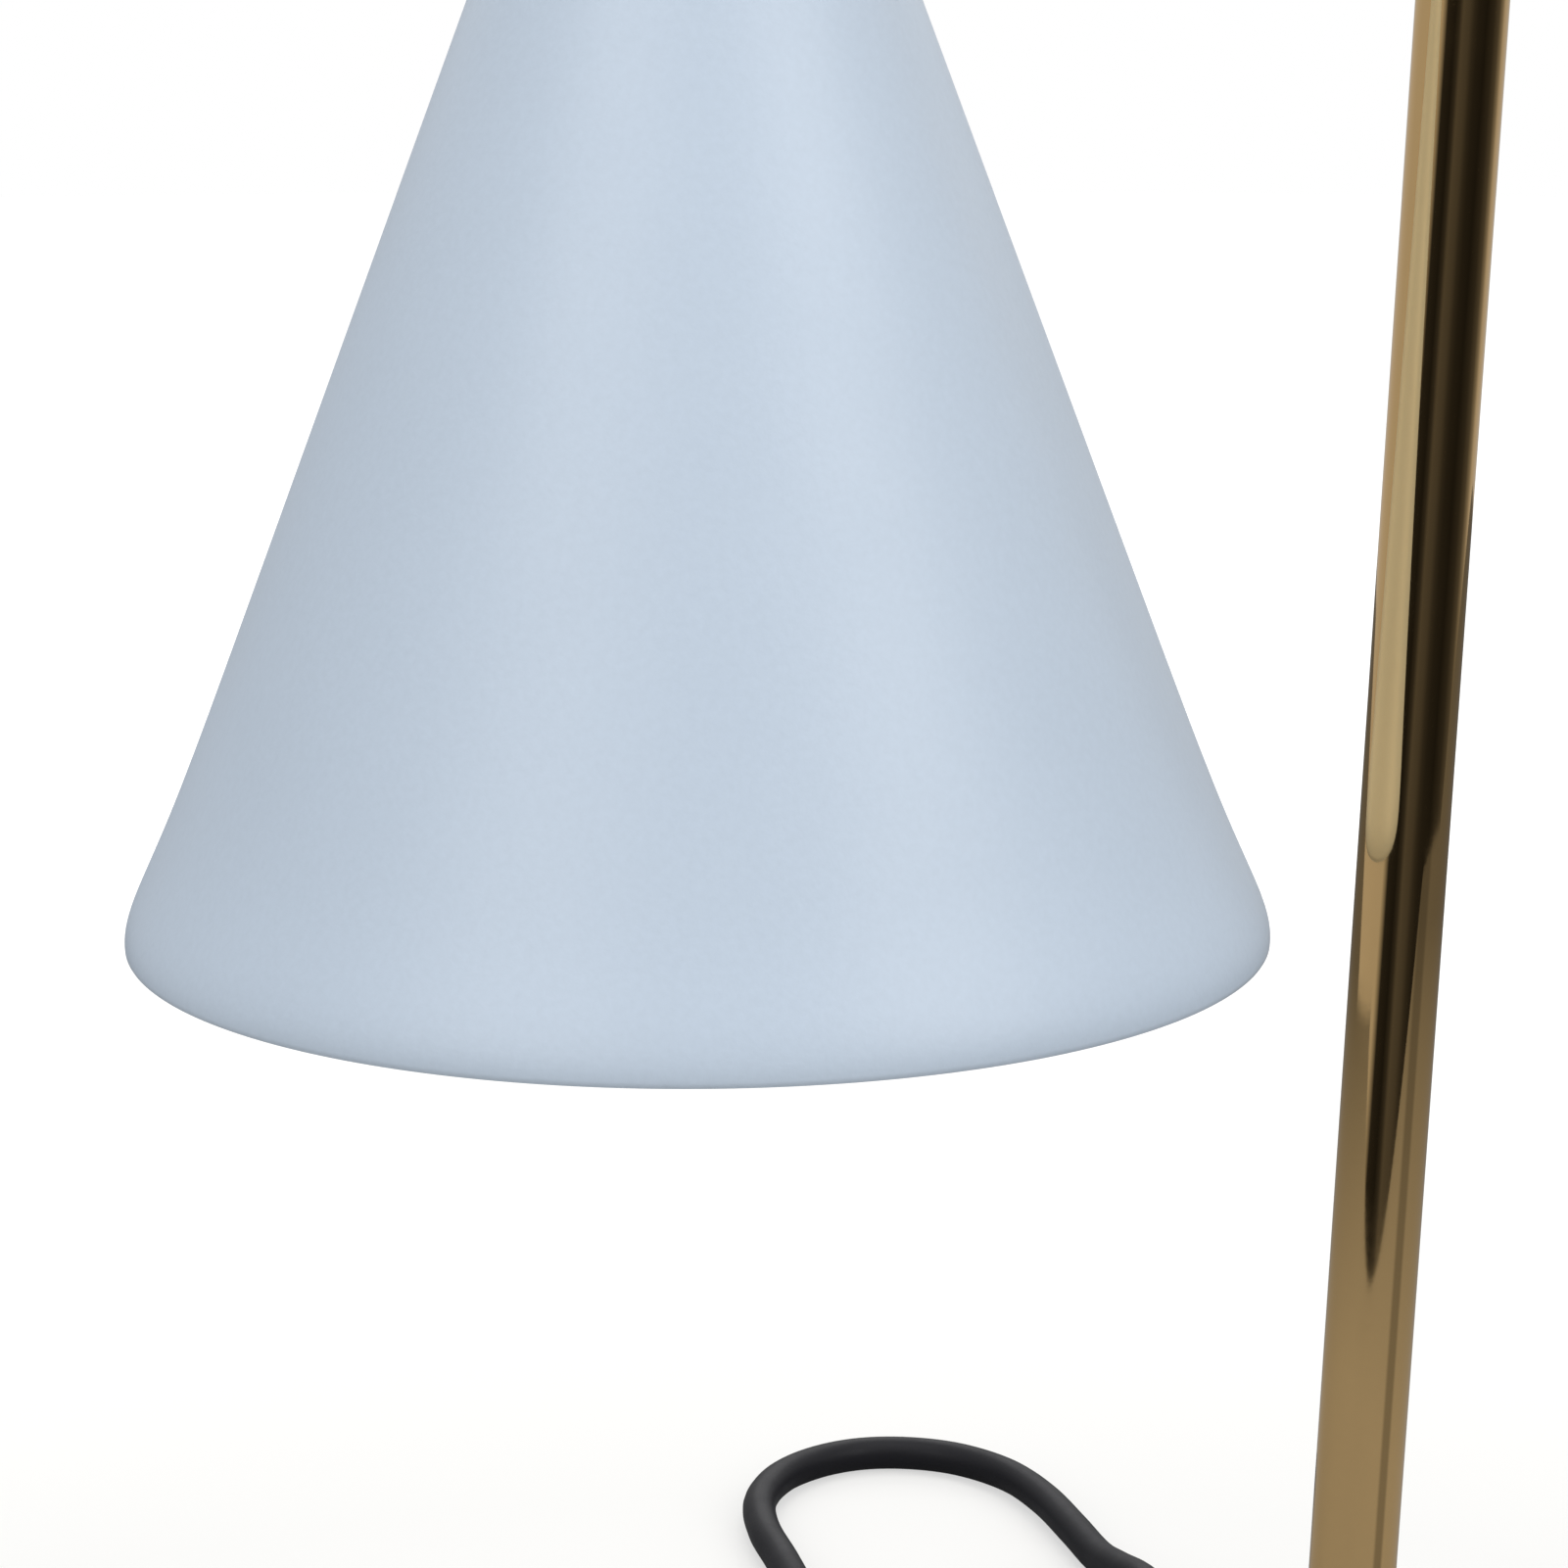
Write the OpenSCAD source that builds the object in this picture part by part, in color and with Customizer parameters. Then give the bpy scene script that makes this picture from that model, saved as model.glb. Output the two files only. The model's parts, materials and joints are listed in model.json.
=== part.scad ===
// Warmer lamp: a heavy round base, a mirror-finished tube that leans a little outward and bends over
// in a round arch, and a conical shade that hangs plumb from a friction knuckle at the arch's end. A
// twist-lock reflector bulb inside the shade heats what stands on the base. The round cord leaves
// the back of the base, runs through an in-line dimmer with a timer button, and is wound up in a
// tied coil with its plug beside it.
// Frame: millimetres, +Z up, origin at the middle of the base on the table, +X towards the tube.

/* [Base] */
// Diameter of the base
base_d = 150; // [135:1:220]
// Height of the base's top above the table
base_h = 18; // [17.5:0.5:30]
// Sheet thickness of the base cover
cover_t = 1.2; // [0.8:0.1:2]
// Rounding of the base cover's top edge
base_edge_r = 4; // [2:0.5:5]
// Thickness of the non-slip pad
pad_t = 1.5; // [1:0.1:3]
// How far the pad's edge stays inside the base's edge
pad_inset = 5; // [3:0.5:15]
// Thickness of the bottom plate
plate_t = 1.2; // [0.8:0.1:2]
// Thickness of the iron weight
weight_t = 10; // [5:0.5:11]
// Air left between the weight and what stands beside it
weight_gap = 5; // [2:0.5:12]
// Radius of the posts that hold the bottom plate
post_r = 3; // [2.6:0.1:4]
// Distance of the posts' middles from the base's edge
post_inset = 7; // [6:0.5:10]

/* [Tube] */
// Outer diameter of the tube
pole_d = 10; // [8:0.5:13]
// Wall of the tube
pole_wall = 1; // [0.6:0.1:1.4]
// Distance of the tube's foot from the base's edge
pole_inset = 17; // [16:0.5:24]
// Outward lean of the tube, in degrees
pole_lean = 2.2; // [0:0.1:4]
// Radius of the arch, at the middle of the tube
arch_r = 43.5; // [38:0.5:60]
// Height of the arch's centre above the table
arch_z = 336; // [320:1:400]
// Straight drop of the tube after the arch
arch_drop = 4; // [2:0.5:12]
// Radius of the collar at the tube's foot
collar_r = 13; // [12.5:0.5:14]
// Height of the collar
collar_h = 9; // [8:0.5:14]
// Height of the steel block under the cover that grips the tube
block_h = 8.5; // [7:0.5:9]

/* [Knuckle] */
// Distance from the tube's end down to the pivot
pivot_drop = 10; // [9.5:0.5:14]
// Radius of the pivot screw
pivot_r = 2; // [1.5:0.1:2.5]
// Radius of the fork's ears
ear_r = 6.5; // [6:0.1:7.5]
// Thickness of one ear
ear_t = 2.6; // [2:0.1:4]
// Thickness of the tongue between the ears
tongue_t = 4; // [3:0.1:5]
// Thickness of a friction washer
washer_t = 0.36; // [0.2:0.02:0.6]
// Distance from the pivot down to the socket cup's top
neck_h = 10; // [9.5:0.5:16]

/* [Shade] */
// Outer radius of the shade's mouth
shade_r = 60; // [50:0.5:75]
// Height of the shade
shade_h = 112; // [95:1:130]
// Outer radius of the shade's top
shade_top_r = 17; // [16:0.5:24]
// Sheet thickness of the shade
shade_t = 1; // [0.6:0.1:1.6]
// Radius of the rolled hem inside the shade's mouth
hem_r = 1.1; // [0.8:0.1:2]
// How far the shade swells past its straight side close to the rim
rim_swell = 0.85; // [0:0.05:1.2]
// Height above the rim where the shade swells most
swell_z = 4; // [2:0.5:6]

/* [Socket] */
// Outer radius of the socket cup
cup_r = 15.6; // [15.4:0.1:16]
// Height of the socket cup above the shade
cup_h = 32; // [30:0.5:40]
// Radius of the cup's threaded spigot below its shoulder
spigot_r = 14.1; // [14:0.05:14.6]
// Length of the spigot below the shade's top
spigot_h = 9; // [7:0.5:12]
// Inner radius of the cup
cup_bore_r = 13.4; // [13.2:0.05:13.5]
// Thickness of the cup's top
cup_top_t = 1.6; // [1:0.1:3]
// Radius of the ceramic lampholder
holder_r = 13; // [12.8:0.05:13.1]
// Height of the lampholder
holder_h = 22; // [20:0.5:24]
// How far the lampholder's face lies below the shade's top
holder_drop = 5; // [3:0.5:6]
// Radius of the hollow threaded stem
stem_r = 5; // [4:0.1:5.5]
// Bore of the hollow threaded stem
stem_bore_r = 3; // [2.8:0.1:3.2]

/* [Bulb] */
// Greatest radius of the bulb
bulb_r = 25; // [20:0.5:27]
// Length of the bulb from its seat to its face
bulb_l = 53; // [46:0.5:58]
// Radius of the bulb's ceramic foot
bulb_foot_r = 12.4; // [11.5:0.1:12.8]
// Distance of each contact pin from the bulb's axis
pin_offset = 5; // [5:0.1:5.4]
// Turn that frees the bulb, in degrees
twist_angle = 25; // [15:1:30]

/* [Cord] */
// Diameter of the round cord
cord_d = 5.8; // [5:0.1:6.2]
// Direction in which the cord leaves the base, in degrees from the tube
gland_angle = 75; // [75:1:75]
// Height of the cord's exit above the table
gland_z = 7.8; // [7.8:0.1:7.8]
// Length of the tapered strain relief on the base
gland_l = 30; // [30:1:30]
// Air left between neighbouring turns of the coil
coil_air = 0.45; // [0.42:0.01:0.6]
// Smallest radius of the coil, at the middle of the cord
coil_in_r = 23.2; // [23.2:0.1:25]
// Width of the strap that ties the coil
tie_w = 10; // [6:0.5:16]
// Thickness of the strap
tie_t = 0.8; // [0.5:0.1:1.2]

/* [Dimmer] */
// Length of the dimmer's case
ctrl_l = 76; // [76:1:76]
// Width of the dimmer's case
ctrl_w = 30; // [28:1:32]
// Height of the dimmer's case
ctrl_h = 15; // [15:0.5:18]
// Wall of the dimmer's case
ctrl_wall = 1.8; // [1.4:0.1:2.2]
// Corner rounding of the dimmer's case
ctrl_corner_r = 5; // [3:0.5:8]
// Length of each strain relief on the dimmer
relief_l = 20; // [20:1:20]
// Radius of the dimmer's knob
knob_r = 9.5; // [7:0.5:11]
// Height of the dimmer's knob
knob_h = 6; // [5:0.5:8]
// Radius of the timer button
button_r = 3.3; // [2.8:0.1:4]
// Travel of the timer button
button_travel = 0.8; // [0.4:0.1:0.9]

/* [Plug] */
// Length of the plug's body
plug_l = 30; // [24:1:36]
// Width of the plug's body
plug_w = 24; // [20:1:28]
// Thickness of the plug's body
plug_t = 15; // [15:0.5:18]
// Distance between the middles of the two blades
blade_pitch = 12.7; // [12.7:0.1:12.7]
// Length of the blades
blade_l = 17; // [15:0.5:18]

/* [Fits] */
// Radial air of a threaded or gripped piece in its hole
thread_gap = 0.02; // [0.01:0.01:0.05]
// Radial air of the pivot in its bores
pivot_gap = 0.05; // [0.02:0.01:0.1]
// Air around a sheet edge or a loose piece
loose_gap = 0.3; // [0.2:0.05:0.4]

/* [Hidden] */
$fn = 96;

// Finishes, as the source shows them
coat_blue = "lightsteelblue";
gold = "goldenrod";
steel = "silver";
iron = "dimgray";
black_pvc = "black";
ceramic_white = "white";

// Base
base_r = base_d / 2;
inside_r = base_r - cover_t;
plate_z = pad_t + plate_t;
ceiling_z = base_h - cover_t;
block_r = 12;
pole_r = pole_d / 2;
pole_foot_x = base_r - pole_inset;
collar_x = pole_foot_x + base_h * tan(pole_lean);
weight_low_x = -(inside_r - weight_gap);
weight_high_x = collar_x - block_r - weight_gap;
weight_r = (weight_high_x - weight_low_x) / 2;
weight_x = (weight_high_x + weight_low_x) / 2;
post_angles = [110, 225, 340];
plate_screw_r = 1.5;
plate_screw_l = 8;
screw_head_r = 2.75;
screw_head_h = 1.1;
weight_screw_offset = 22;
weight_screw_r = 2;
weight_screw_depth = 6;

// Tube and its foot
bore_r = pole_r - pole_wall;
block_z = ceiling_z - block_h;
pole_end_s = block_z + 0.5;
arch_x = pole_foot_x + tan(pole_lean) * (arch_z - arch_r * sin(pole_lean))
    - arch_r * cos(pole_lean);
arch_start_s = (arch_z - arch_r * sin(pole_lean)) / cos(pole_lean);
shade_x = arch_x - arch_r;
tube_end_z = arch_z - arch_drop;
block_screw_offset = 8.3;
block_screw_r = 1.5;
block_screw_grip = 4;
set_screw_r = 2;
collar_flange_h = 3;
collar_neck_r = pole_r + 2.5;
cove_end_angle = 215;

// Bends and the straight rods that lap their ends
bend_slack = 0.02;
lap = 0.2;

// Wires
lead_r = 1.1;
lead_offset = 1.3;
lead_bend_r = 3.2;
lead_ring_r = inside_r - 5.8;
terminal_angle = 50;
terminal_l = 14;
terminal_h = 9;
lead_drop_x = pole_foot_x + pole_end_s * sin(pole_lean);
lead_drop_z = pole_end_s * cos(pole_lean);
lead_turn_x = lead_drop_x + lead_bend_r * cos(pole_lean);
lead_turn_z = lead_drop_z - lead_bend_r * sin(pole_lean);
lead_z = lead_turn_z - lead_bend_r;
lead_join_r = (lead_ring_r * lead_ring_r - lead_turn_x * lead_turn_x) / (2 * lead_ring_r);
lead_join_angle = atan2(lead_join_r, lead_turn_x);

// Cord entry
cord_r = cord_d / 2;
gland_waist_r = 4.3;
gland_flange_r = 6;
gland_barb_r = 4.9;
gland_flange_t = 1.5;
gland_tip_r = 3.6;
jacket_in = 9;
core_turn_r = 7;
core_delta = gland_angle - terminal_angle;
jacket_end_r = base_r - jacket_in;
core_turn = [jacket_end_r * cos(core_delta) + core_turn_r * sin(core_delta),
    jacket_end_r * sin(core_delta) - core_turn_r * cos(core_delta)];
core_down_x = core_turn[0] - core_turn_r;

// Knuckle
pivot_z = tube_end_z - pivot_drop;
washer_air = 0.02;
ear_in_y = tongue_t / 2 + washer_t + 2 * washer_air;
ear_out_y = ear_in_y + ear_t;
fork_deck_z = pivot_z + ear_r + 0.5;
fork_plug_l = 6;
fork_bore_r = lead_offset + lead_r + 0.2;
tongue_r = ear_r - 0.2;
pivot_head_r = 4;
pivot_head_h = 2.4;
pivot_nut_flat = 7;
pivot_nut_h = 3.2;
pivot_cap_r = 3.2;
cup_top_z = pivot_z - neck_h;
tongue_flange_r = 8;
tongue_flange_h = 1.6;
tongue_neck_w = 8;

// Shade and socket
shade_top_z = cup_top_z - cup_h;
rim_z = shade_top_z - shade_h;
shade_slope = (shade_r - shade_top_r) / shade_h;
shade_hole_r = spigot_r + 0.2;
cup_bore_top_z = cup_top_z - cup_top_t;
bracket_t = 1;
stem_nut_flat = 13;
stem_nut_h = 3.2;
nut_z = cup_bore_top_z - bracket_t - stem_nut_h;
stem_end_z = nut_z - 0.7;
seat_z = shade_top_z - holder_drop;
holder_top_z = seat_z + holder_h;
holder_screw_offset = 9.3;
holder_screw_r = 1.5;
holder_head_r = 2.6;
holder_head_h = 2.2;
bracket_post_r = 2.6;
holder_screw_grip = 5;
ring_t = 3.5;
ring_notches = 12;
ring_notch_r = 0.9;
ring_r = shade_top_r - shade_t - loose_gap - 0.5;

// Bulb
pin_neck_r = 1.6;
pin_head_r = 2.5;
pin_face_t = 2.6;
pin_head_h = 2.8;
slot_air = 0.2;
head_bed_z = seat_z + pin_face_t + 0.4;
pin_top_z = head_bed_z + pin_head_h;
chamber_top_z = pin_top_z + 2;
contact_t = 0.5;
contact_air = 0.2;
contact_r = 2.2;
rivet_r = 0.9;
rivet_top_z = holder_top_z + 0.6;
lead_bow_angle = 60;
lead_bow_r = (pin_offset - lead_offset) / 2 / (1 - cos(lead_bow_angle));
bulb_seat_air = 0.1;
bulb_top_z = seat_z - bulb_seat_air;
bulb_foot_h = 12;
bulb_face_z = bulb_top_z - bulb_l;
bulb_glass_t = 1.8;
bulb_neck_r = 11;
bulb_flare_h = 12;
bulb_flare_z = bulb_face_z + bulb_flare_h;
bulb_neck_z = bulb_top_z - bulb_foot_h;
bulb_bowl_k = (bulb_r * bulb_r - bulb_neck_r * bulb_neck_r) / (bulb_neck_z - bulb_flare_z);
lens_t = 2.5;
lens_recess = 0.8;
capsule_r = 4.5;
capsule_l = 14;
capsule_stem_r = 3;
capsule_stem_l = 9;
capsule_boss_h = 4;
pin_hole_depth = 6;
pin_root_l = 5.5;

// Dimmer, lying along Y on the table
ctrl_at = [102, 110];
ctrl_mid_z = 7.5;
board_w = 24;
board_l = 54;
board_t = 1.6;
board_z = 4.4;
board_top_z = board_z + board_t;
board_post_at = [8, board_l / 2 - 4];
board_post_r = 2;
cap_r = 3;
cap_h = 6;
cap_y = 4;
chip_x = 7;
triac_w = 7;
triac_t = 4;
led_w = 3;
led_h = 1.2;
boss_at = [ctrl_w / 2 - 4.5, 31];
boss_r = 3.4;
ctrl_screw_r = 1.25;
ctrl_head_r = 2.3;
ctrl_head_h = 1.4;
relief_waist_r = 3.6;
relief_base_r = 4.6;
relief_tip_r = 3.6;
relief_flange_t = 2;
shaft_r = 3;
shaft_hole_r = 3.6;
knob_y = 18;
pot_w = 10;
pot_h = 5.5;
pot_socket = 2.8;
knob_air = 0.4;
knob_flutes = 24;
knob_flute_r = 0.7;
button_y = -12;
button_rise = 1.2;
button_flange_r = button_r + 0.9;
button_flange_t = 1;
button_stem_r = 1.8;
switch_w = 6;
switch_h = 3.5;
pipe_y = -24;
pipe_r = 1.5;

// Cord routes: points chosen by hand, in millimetres. Each free stretch starts and ends square to
// what it meets.
lead_route = [
    [27.18, 101.42, 7.8], [28.5, 106.3, 7.75], [31, 116, 7], [35, 131, 4.9], [39, 146, 3.3],
    [43, 161, 2.95], [46.5, 176, 2.95], [49, 191, 2.95], [50, 206, 2.95], [50.5, 220, 2.95],
    [53, 232, 2.95], [59, 241.5, 2.95], [67, 247, 2.95], [76, 249, 2.95], [85, 247, 2.95],
    [93, 241.5, 2.95], [99, 232, 2.95], [101.5, 220, 2.95], [102, 206, 2.95],
    [102, 194, 3.1], [102, 184, 5], [102, 174, 7.3], [102, 168, 7.5]
];
tail_route = [
    [102, 52, 7.5], [102, 49, 7.45], [102, 45.5, 6.75], [102, 42, 5.3], [102, 38.5, 4.2],
    [102, 35, 3.87], [102, 31.8, 3.85]
];
coil_at = [145.5, 26];
end_route = [
    [189, 31.8, 10.1], [189, 38, 10.1], [188.9, 44, 9.4], [188.5, 50, 8.2], [187.8, 55, 7.55],
    [187, 59.5, 7.5]
];
plug_heading = 100;
plug_at = [187, 59.5, 7.5];
plug_sleeve_l = 24;
plug_sleeve_r = 3.6;
plug_neck_r = 4.6;
blade_w = 6.35;
blade_t = 1.5;
blade_hole_r = 1.5;
blade_hole_in = 4;
plug_corner_r = 4;
plug_back_w = 13;
plug_back_t = 10.5;
plug_shoulder_l = 16;

// Coil: wound from outside in on the lower layer, back out on the upper one
coil_turns = 6.5;
coil_rings = 24;
coil_pitch = cord_d + coil_air;
coil_out_r = coil_in_r + coil_pitch * coil_turns / 2;
coil_low_z = cord_r + tie_t + 0.15;
coil_climb = 0.5;

// ---- Helpers -------------------------------------------------------------------------------

// A rod bent round: a circle carried along an arc about Z, starting on +X. It is a hair thinner
// than the straight rods that lap over its ends.
module bent_rod(bend_r, angle, r) {
    rotate_extrude(angle = angle) translate([bend_r, 0]) circle(r - bend_slack);
}

// A short straight rod that joins two bends, or laps a bend's end
module lap_rod(r) cylinder(r = r, h = 2 * lap, center = true);

// Turns the XY plane up into XZ, so that an angle from +X towards +Y becomes one towards +Z
module upright() rotate([90, 0, 0]) children();

// The tube's own leaning frame, with its Z along the tube from the table up
module along_pole() translate([pole_foot_x, 0, 0]) rotate([0, pole_lean, 0]) children();

module at_head() translate([shade_x, 0, 0]) children();

// Local Z points straight out of the base at the cord's exit, from the base's edge
module at_gland() rotate([0, 0, gland_angle]) translate([base_r, 0, gland_z]) rotate([0, 90, 0])
    children();

module at_control() translate([ctrl_at[0], ctrl_at[1], 0]) children();

module hex_prism(flat, h) cylinder(d = flat / cos(30), h = h, $fn = 6);

module rounded_plate(w, l, r, h) {
    linear_extrude(h) union() {
        square([w - 2 * r, l], center = true);
        square([w, l - 2 * r], center = true);
        for (sx = [-1, 1], sy = [-1, 1])
            translate([sx * (w / 2 - r), sy * (l / 2 - r)]) circle(r);
    }
}

// Points of a circle's arc, from angle a to angle b
function arc_points(centre, r, a, b, steps) =
    [for (i = [0:steps]) centre + r * [cos(a + (b - a) * i / steps), sin(a + (b - a) * i / steps)]];

function unit(v) = v / norm(v);

// Direction of a route at point i, from the points beside it
function heading(route, i) =
    unit(route[min(i + 1, len(route) - 1)] - route[max(i - 1, 0)]);

// One ring of a swept tube: a level side vector and the one above it
function ring_points(centre, along, r, sides) =
    let (side = unit(cross(along, [0, 0, 1])), above = cross(side, along))
    [for (k = [0:sides - 1]) let (a = 360 * (k + 0.5) / sides)
        centre + r * (cos(a) * side + sin(a) * above)];

// A closed tube along a route, with flat ends
module swept_tube(route, r, sides) {
    last = len(route) - 1;
    along = [for (i = [0:last]) heading(route, i)];
    points = [for (i = [0:last]) each ring_points(route[i], along[i], r, sides)];
    walls = [for (i = [0:last - 1], k = [0:sides - 1])
        let (a = i * sides + k, b = i * sides + (k + 1) % sides)
        each [[a, b, b + sides], [a, b + sides, a + sides]]];
    first_end = [for (k = [1:sides - 2]) [0, k + 1, k]];
    tip = last * sides;
    last_end = [for (k = [1:sides - 2]) [tip, tip + k, tip + k + 1]];
    polyhedron(points, concat(walls, first_end, last_end));
}

// ---- Base ----------------------------------------------------------------------------------

// The plain half outline of the cover: a flat top, a rounded edge and a straight skirt
module cover_outline(r, top, edge) {
    translate([0, pad_t]) square([r, top - edge - pad_t]);
    square_top = top - edge;
    translate([0, square_top]) square([r - edge, edge]);
    translate([r - edge, square_top]) intersection() {
        circle(edge);
        square(edge);
    }
}

module base_cover() {
    color(coat_blue) difference() {
        union() {
            rotate_extrude($fn = 180) difference() {
                cover_outline(base_r, base_h, base_edge_r);
                cover_outline(inside_r, ceiling_z, base_edge_r - cover_t);
                translate([0, pad_t - 1]) square([inside_r, 2]);
            }
            for (a = post_angles) rotate([0, 0, a])
                translate([base_r - post_inset, 0, plate_z])
                    cylinder(r = post_r, h = ceiling_z - plate_z + cover_t / 2);
        }
        along_pole() translate([0, 0, block_z]) cylinder(r = pole_r + loose_gap, h = base_h);
        for (sy = [-1, 1]) translate([collar_x, sy * block_screw_offset, block_z])
            cylinder(r = block_screw_r + loose_gap, h = block_h + base_h);
        for (a = post_angles) rotate([0, 0, a])
            translate([base_r - post_inset, 0, plate_z - 1])
                cylinder(r = plate_screw_r + thread_gap, h = ceiling_z - plate_z - 1);
        at_gland() translate([0, 0, -2 * cover_t - 1])
            cylinder(r = gland_waist_r + thread_gap, h = 4 * cover_t);
    }
}

module base_plate() {
    color(steel) difference() {
        translate([0, 0, pad_t]) cylinder(r = inside_r - loose_gap, h = plate_t, $fn = 180);
        for (a = post_angles) rotate([0, 0, a]) translate([base_r - post_inset, 0, 0])
            cylinder(r = plate_screw_r + loose_gap, h = plate_z + 1);
        for (sy = [-1, 1]) translate([weight_x, sy * weight_screw_offset, 0])
            cylinder(r = weight_screw_r + loose_gap, h = plate_z + 1);
    }
}

module base_weight() {
    color(iron) difference() {
        translate([weight_x, 0, plate_z]) cylinder(r = weight_r, h = weight_t, $fn = 180);
        for (sy = [-1, 1]) translate([weight_x, sy * weight_screw_offset, plate_z - 1])
            cylinder(r = weight_screw_r + thread_gap, h = weight_screw_depth + 1.5);
    }
}

module foot_pad() {
    color("black") difference() {
        cylinder(r = base_r - pad_inset, h = pad_t, $fn = 180);
        for (a = post_angles) rotate([0, 0, a]) translate([base_r - post_inset, 0, -1])
            cylinder(r = screw_head_r + loose_gap, h = pad_t + 2);
        for (sy = [-1, 1]) translate([weight_x, sy * weight_screw_offset, -1])
            cylinder(r = screw_head_r + 1 + loose_gap, h = pad_t + 2);
    }
}

// A pan-head screw standing on its head's lower face at z = 0, its head below
module screw_up(r, l, head_r, head_h) {
    difference() {
        union() {
            cylinder(r = r, h = l);
            translate([0, 0, -head_h]) cylinder(r = head_r, h = head_h);
        }
        translate([0, 0, -head_h - 1]) linear_extrude(1 + head_h / 2) union() {
            square([head_r, head_r / 4], center = true);
            square([head_r / 4, head_r], center = true);
        }
    }
}

module plate_screws() {
    color(steel) for (a = post_angles) rotate([0, 0, a]) translate([base_r - post_inset, 0, pad_t])
        screw_up(plate_screw_r, plate_screw_l, screw_head_r, screw_head_h);
}

module weight_screws() {
    color(steel) for (sy = [-1, 1]) translate([weight_x, sy * weight_screw_offset, pad_t])
        screw_up(weight_screw_r, plate_t + weight_screw_depth, screw_head_r + 1, screw_head_h);
}

// ---- Tube and its foot -----------------------------------------------------------------------

module pole_collar() {
    color(gold) difference() {
        translate([collar_x, 0, base_h]) rotate_extrude() polygon(concat(
            [[0, 0], [collar_r, 0], [collar_r, collar_flange_h - 1],
                [collar_r - 0.3, collar_flange_h - 0.3], [collar_r - 1, collar_flange_h]],
            arc_points([collar_r - 1, collar_h], collar_h - collar_flange_h, 270, cove_end_angle, 8),
            [[collar_neck_r, collar_h - 0.6], [collar_neck_r - 0.6, collar_h], [0, collar_h]]));
        along_pole() translate([0, 0, ceiling_z]) cylinder(r = pole_r + thread_gap, h = collar_h + base_h);
        for (sy = [-1, 1]) translate([collar_x, sy * block_screw_offset, base_h - 1])
            cylinder(r = block_screw_r + thread_gap, h = block_screw_grip + 0.3 + 1);
    }
}

module pole_block() {
    color(steel) difference() {
        translate([collar_x, 0, block_z]) cylinder(r = block_r, h = block_h);
        along_pole() cylinder(r = pole_r + thread_gap, h = 2 * base_h);
        for (sy = [-1, 1]) translate([collar_x, sy * block_screw_offset, 0])
            cylinder(r = block_screw_r + loose_gap, h = 2 * base_h);
        translate([collar_x, 0, block_z + block_h / 2]) rotate([0, -90, 0])
            cylinder(r = set_screw_r + thread_gap, h = 2 * block_r);
    }
}

module block_screws() {
    color(steel) for (sy = [-1, 1]) translate([collar_x, sy * block_screw_offset, block_z])
        screw_up(block_screw_r, block_h + cover_t + block_screw_grip, screw_head_r, 2);
}

module set_screw() {
    tip_z = block_z + block_h / 2;
    color("dimgray") difference() {
        translate([collar_x, 0, tip_z]) rotate([0, -90, 0]) cylinder(r = set_screw_r, h = block_r - 0.5);
        along_pole() cylinder(r = pole_r + thread_gap, h = 2 * base_h);
        translate([collar_x - block_r, 0, tip_z]) rotate([0, 90, 0]) cylinder(d = 2, h = 2.5, $fn = 6);
    }
}

// The whole run of a tube of radius r: leaning straight, arch and short straight drop
module pole_run(r, low_s, low_z) {
    along_pole() translate([0, 0, low_s]) cylinder(r = r, h = arch_start_s + lap - low_s);
    translate([arch_x, 0, arch_z]) upright() rotate([0, 0, -pole_lean])
        bent_rod(arch_r, 180 + pole_lean, r);
    translate([shade_x, 0, low_z]) cylinder(r = r, h = arch_z + lap - low_z);
}

module pole_tube() {
    color(gold) difference() {
        pole_run(pole_r, pole_end_s, tube_end_z);
        pole_run(bore_r, pole_end_s - 1, tube_end_z - 1);
    }
}

// Two insulated wires: through the whole tube, round the foot and along the skirt to the terminals
module inner_leads() {
    color("white") for (sy = [-1, 1]) {
        translate([0, sy * lead_offset, 0]) {
            pole_run(lead_r, pole_end_s - lap, fork_deck_z + 0.5);
            translate([lead_turn_x, 0, lead_turn_z]) upright() rotate([0, 0, 180 - pole_lean])
                bent_rod(lead_bend_r, 90 + pole_lean, lead_r);
            translate([lead_turn_x, 0, lead_z]) rotate([0, 90, 0]) lap_rod(lead_r);
        }
        translate([lead_turn_x, lead_join_r, lead_z]) rotate([0, 0, -90])
            bent_rod(lead_join_r - sy * lead_offset, 90 + lead_join_angle, lead_r);
        translate([0, 0, lead_z]) rotate([0, 0, lead_join_angle])
            bent_rod(lead_ring_r - sy * lead_offset, terminal_angle - lead_join_angle, lead_r);
        rotate([0, 0, lead_join_angle]) translate([lead_ring_r - sy * lead_offset, 0, lead_z])
            rotate([90, 0, 0]) lap_rod(lead_r);
        rotate([0, 0, terminal_angle]) translate([lead_ring_r - sy * lead_offset, -lap, lead_z])
            rotate([-90, 0, 0]) cylinder(r = lead_r, h = lap + terminal_l / 3);
    }
}

module terminal_block() {
    low_x = core_down_x - 3.3;
    color("whitesmoke") rotate([0, 0, terminal_angle]) difference() {
        translate([low_x, 0, plate_z]) cube([lead_ring_r + 3.4 - low_x, terminal_l, terminal_h]);
        for (s = [-1, 1]) {
            translate([lead_ring_r + s * lead_offset, -1, lead_z]) rotate([-90, 0, 0])
                cylinder(r = lead_r + thread_gap, h = 1 + terminal_l / 3 + loose_gap);
            translate([core_down_x + s * lead_offset, terminal_l + 1, gland_z]) rotate([90, 0, 0])
                cylinder(r = lead_r + thread_gap, h = 1 + terminal_l / 3 + loose_gap);
        }
    }
}

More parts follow.
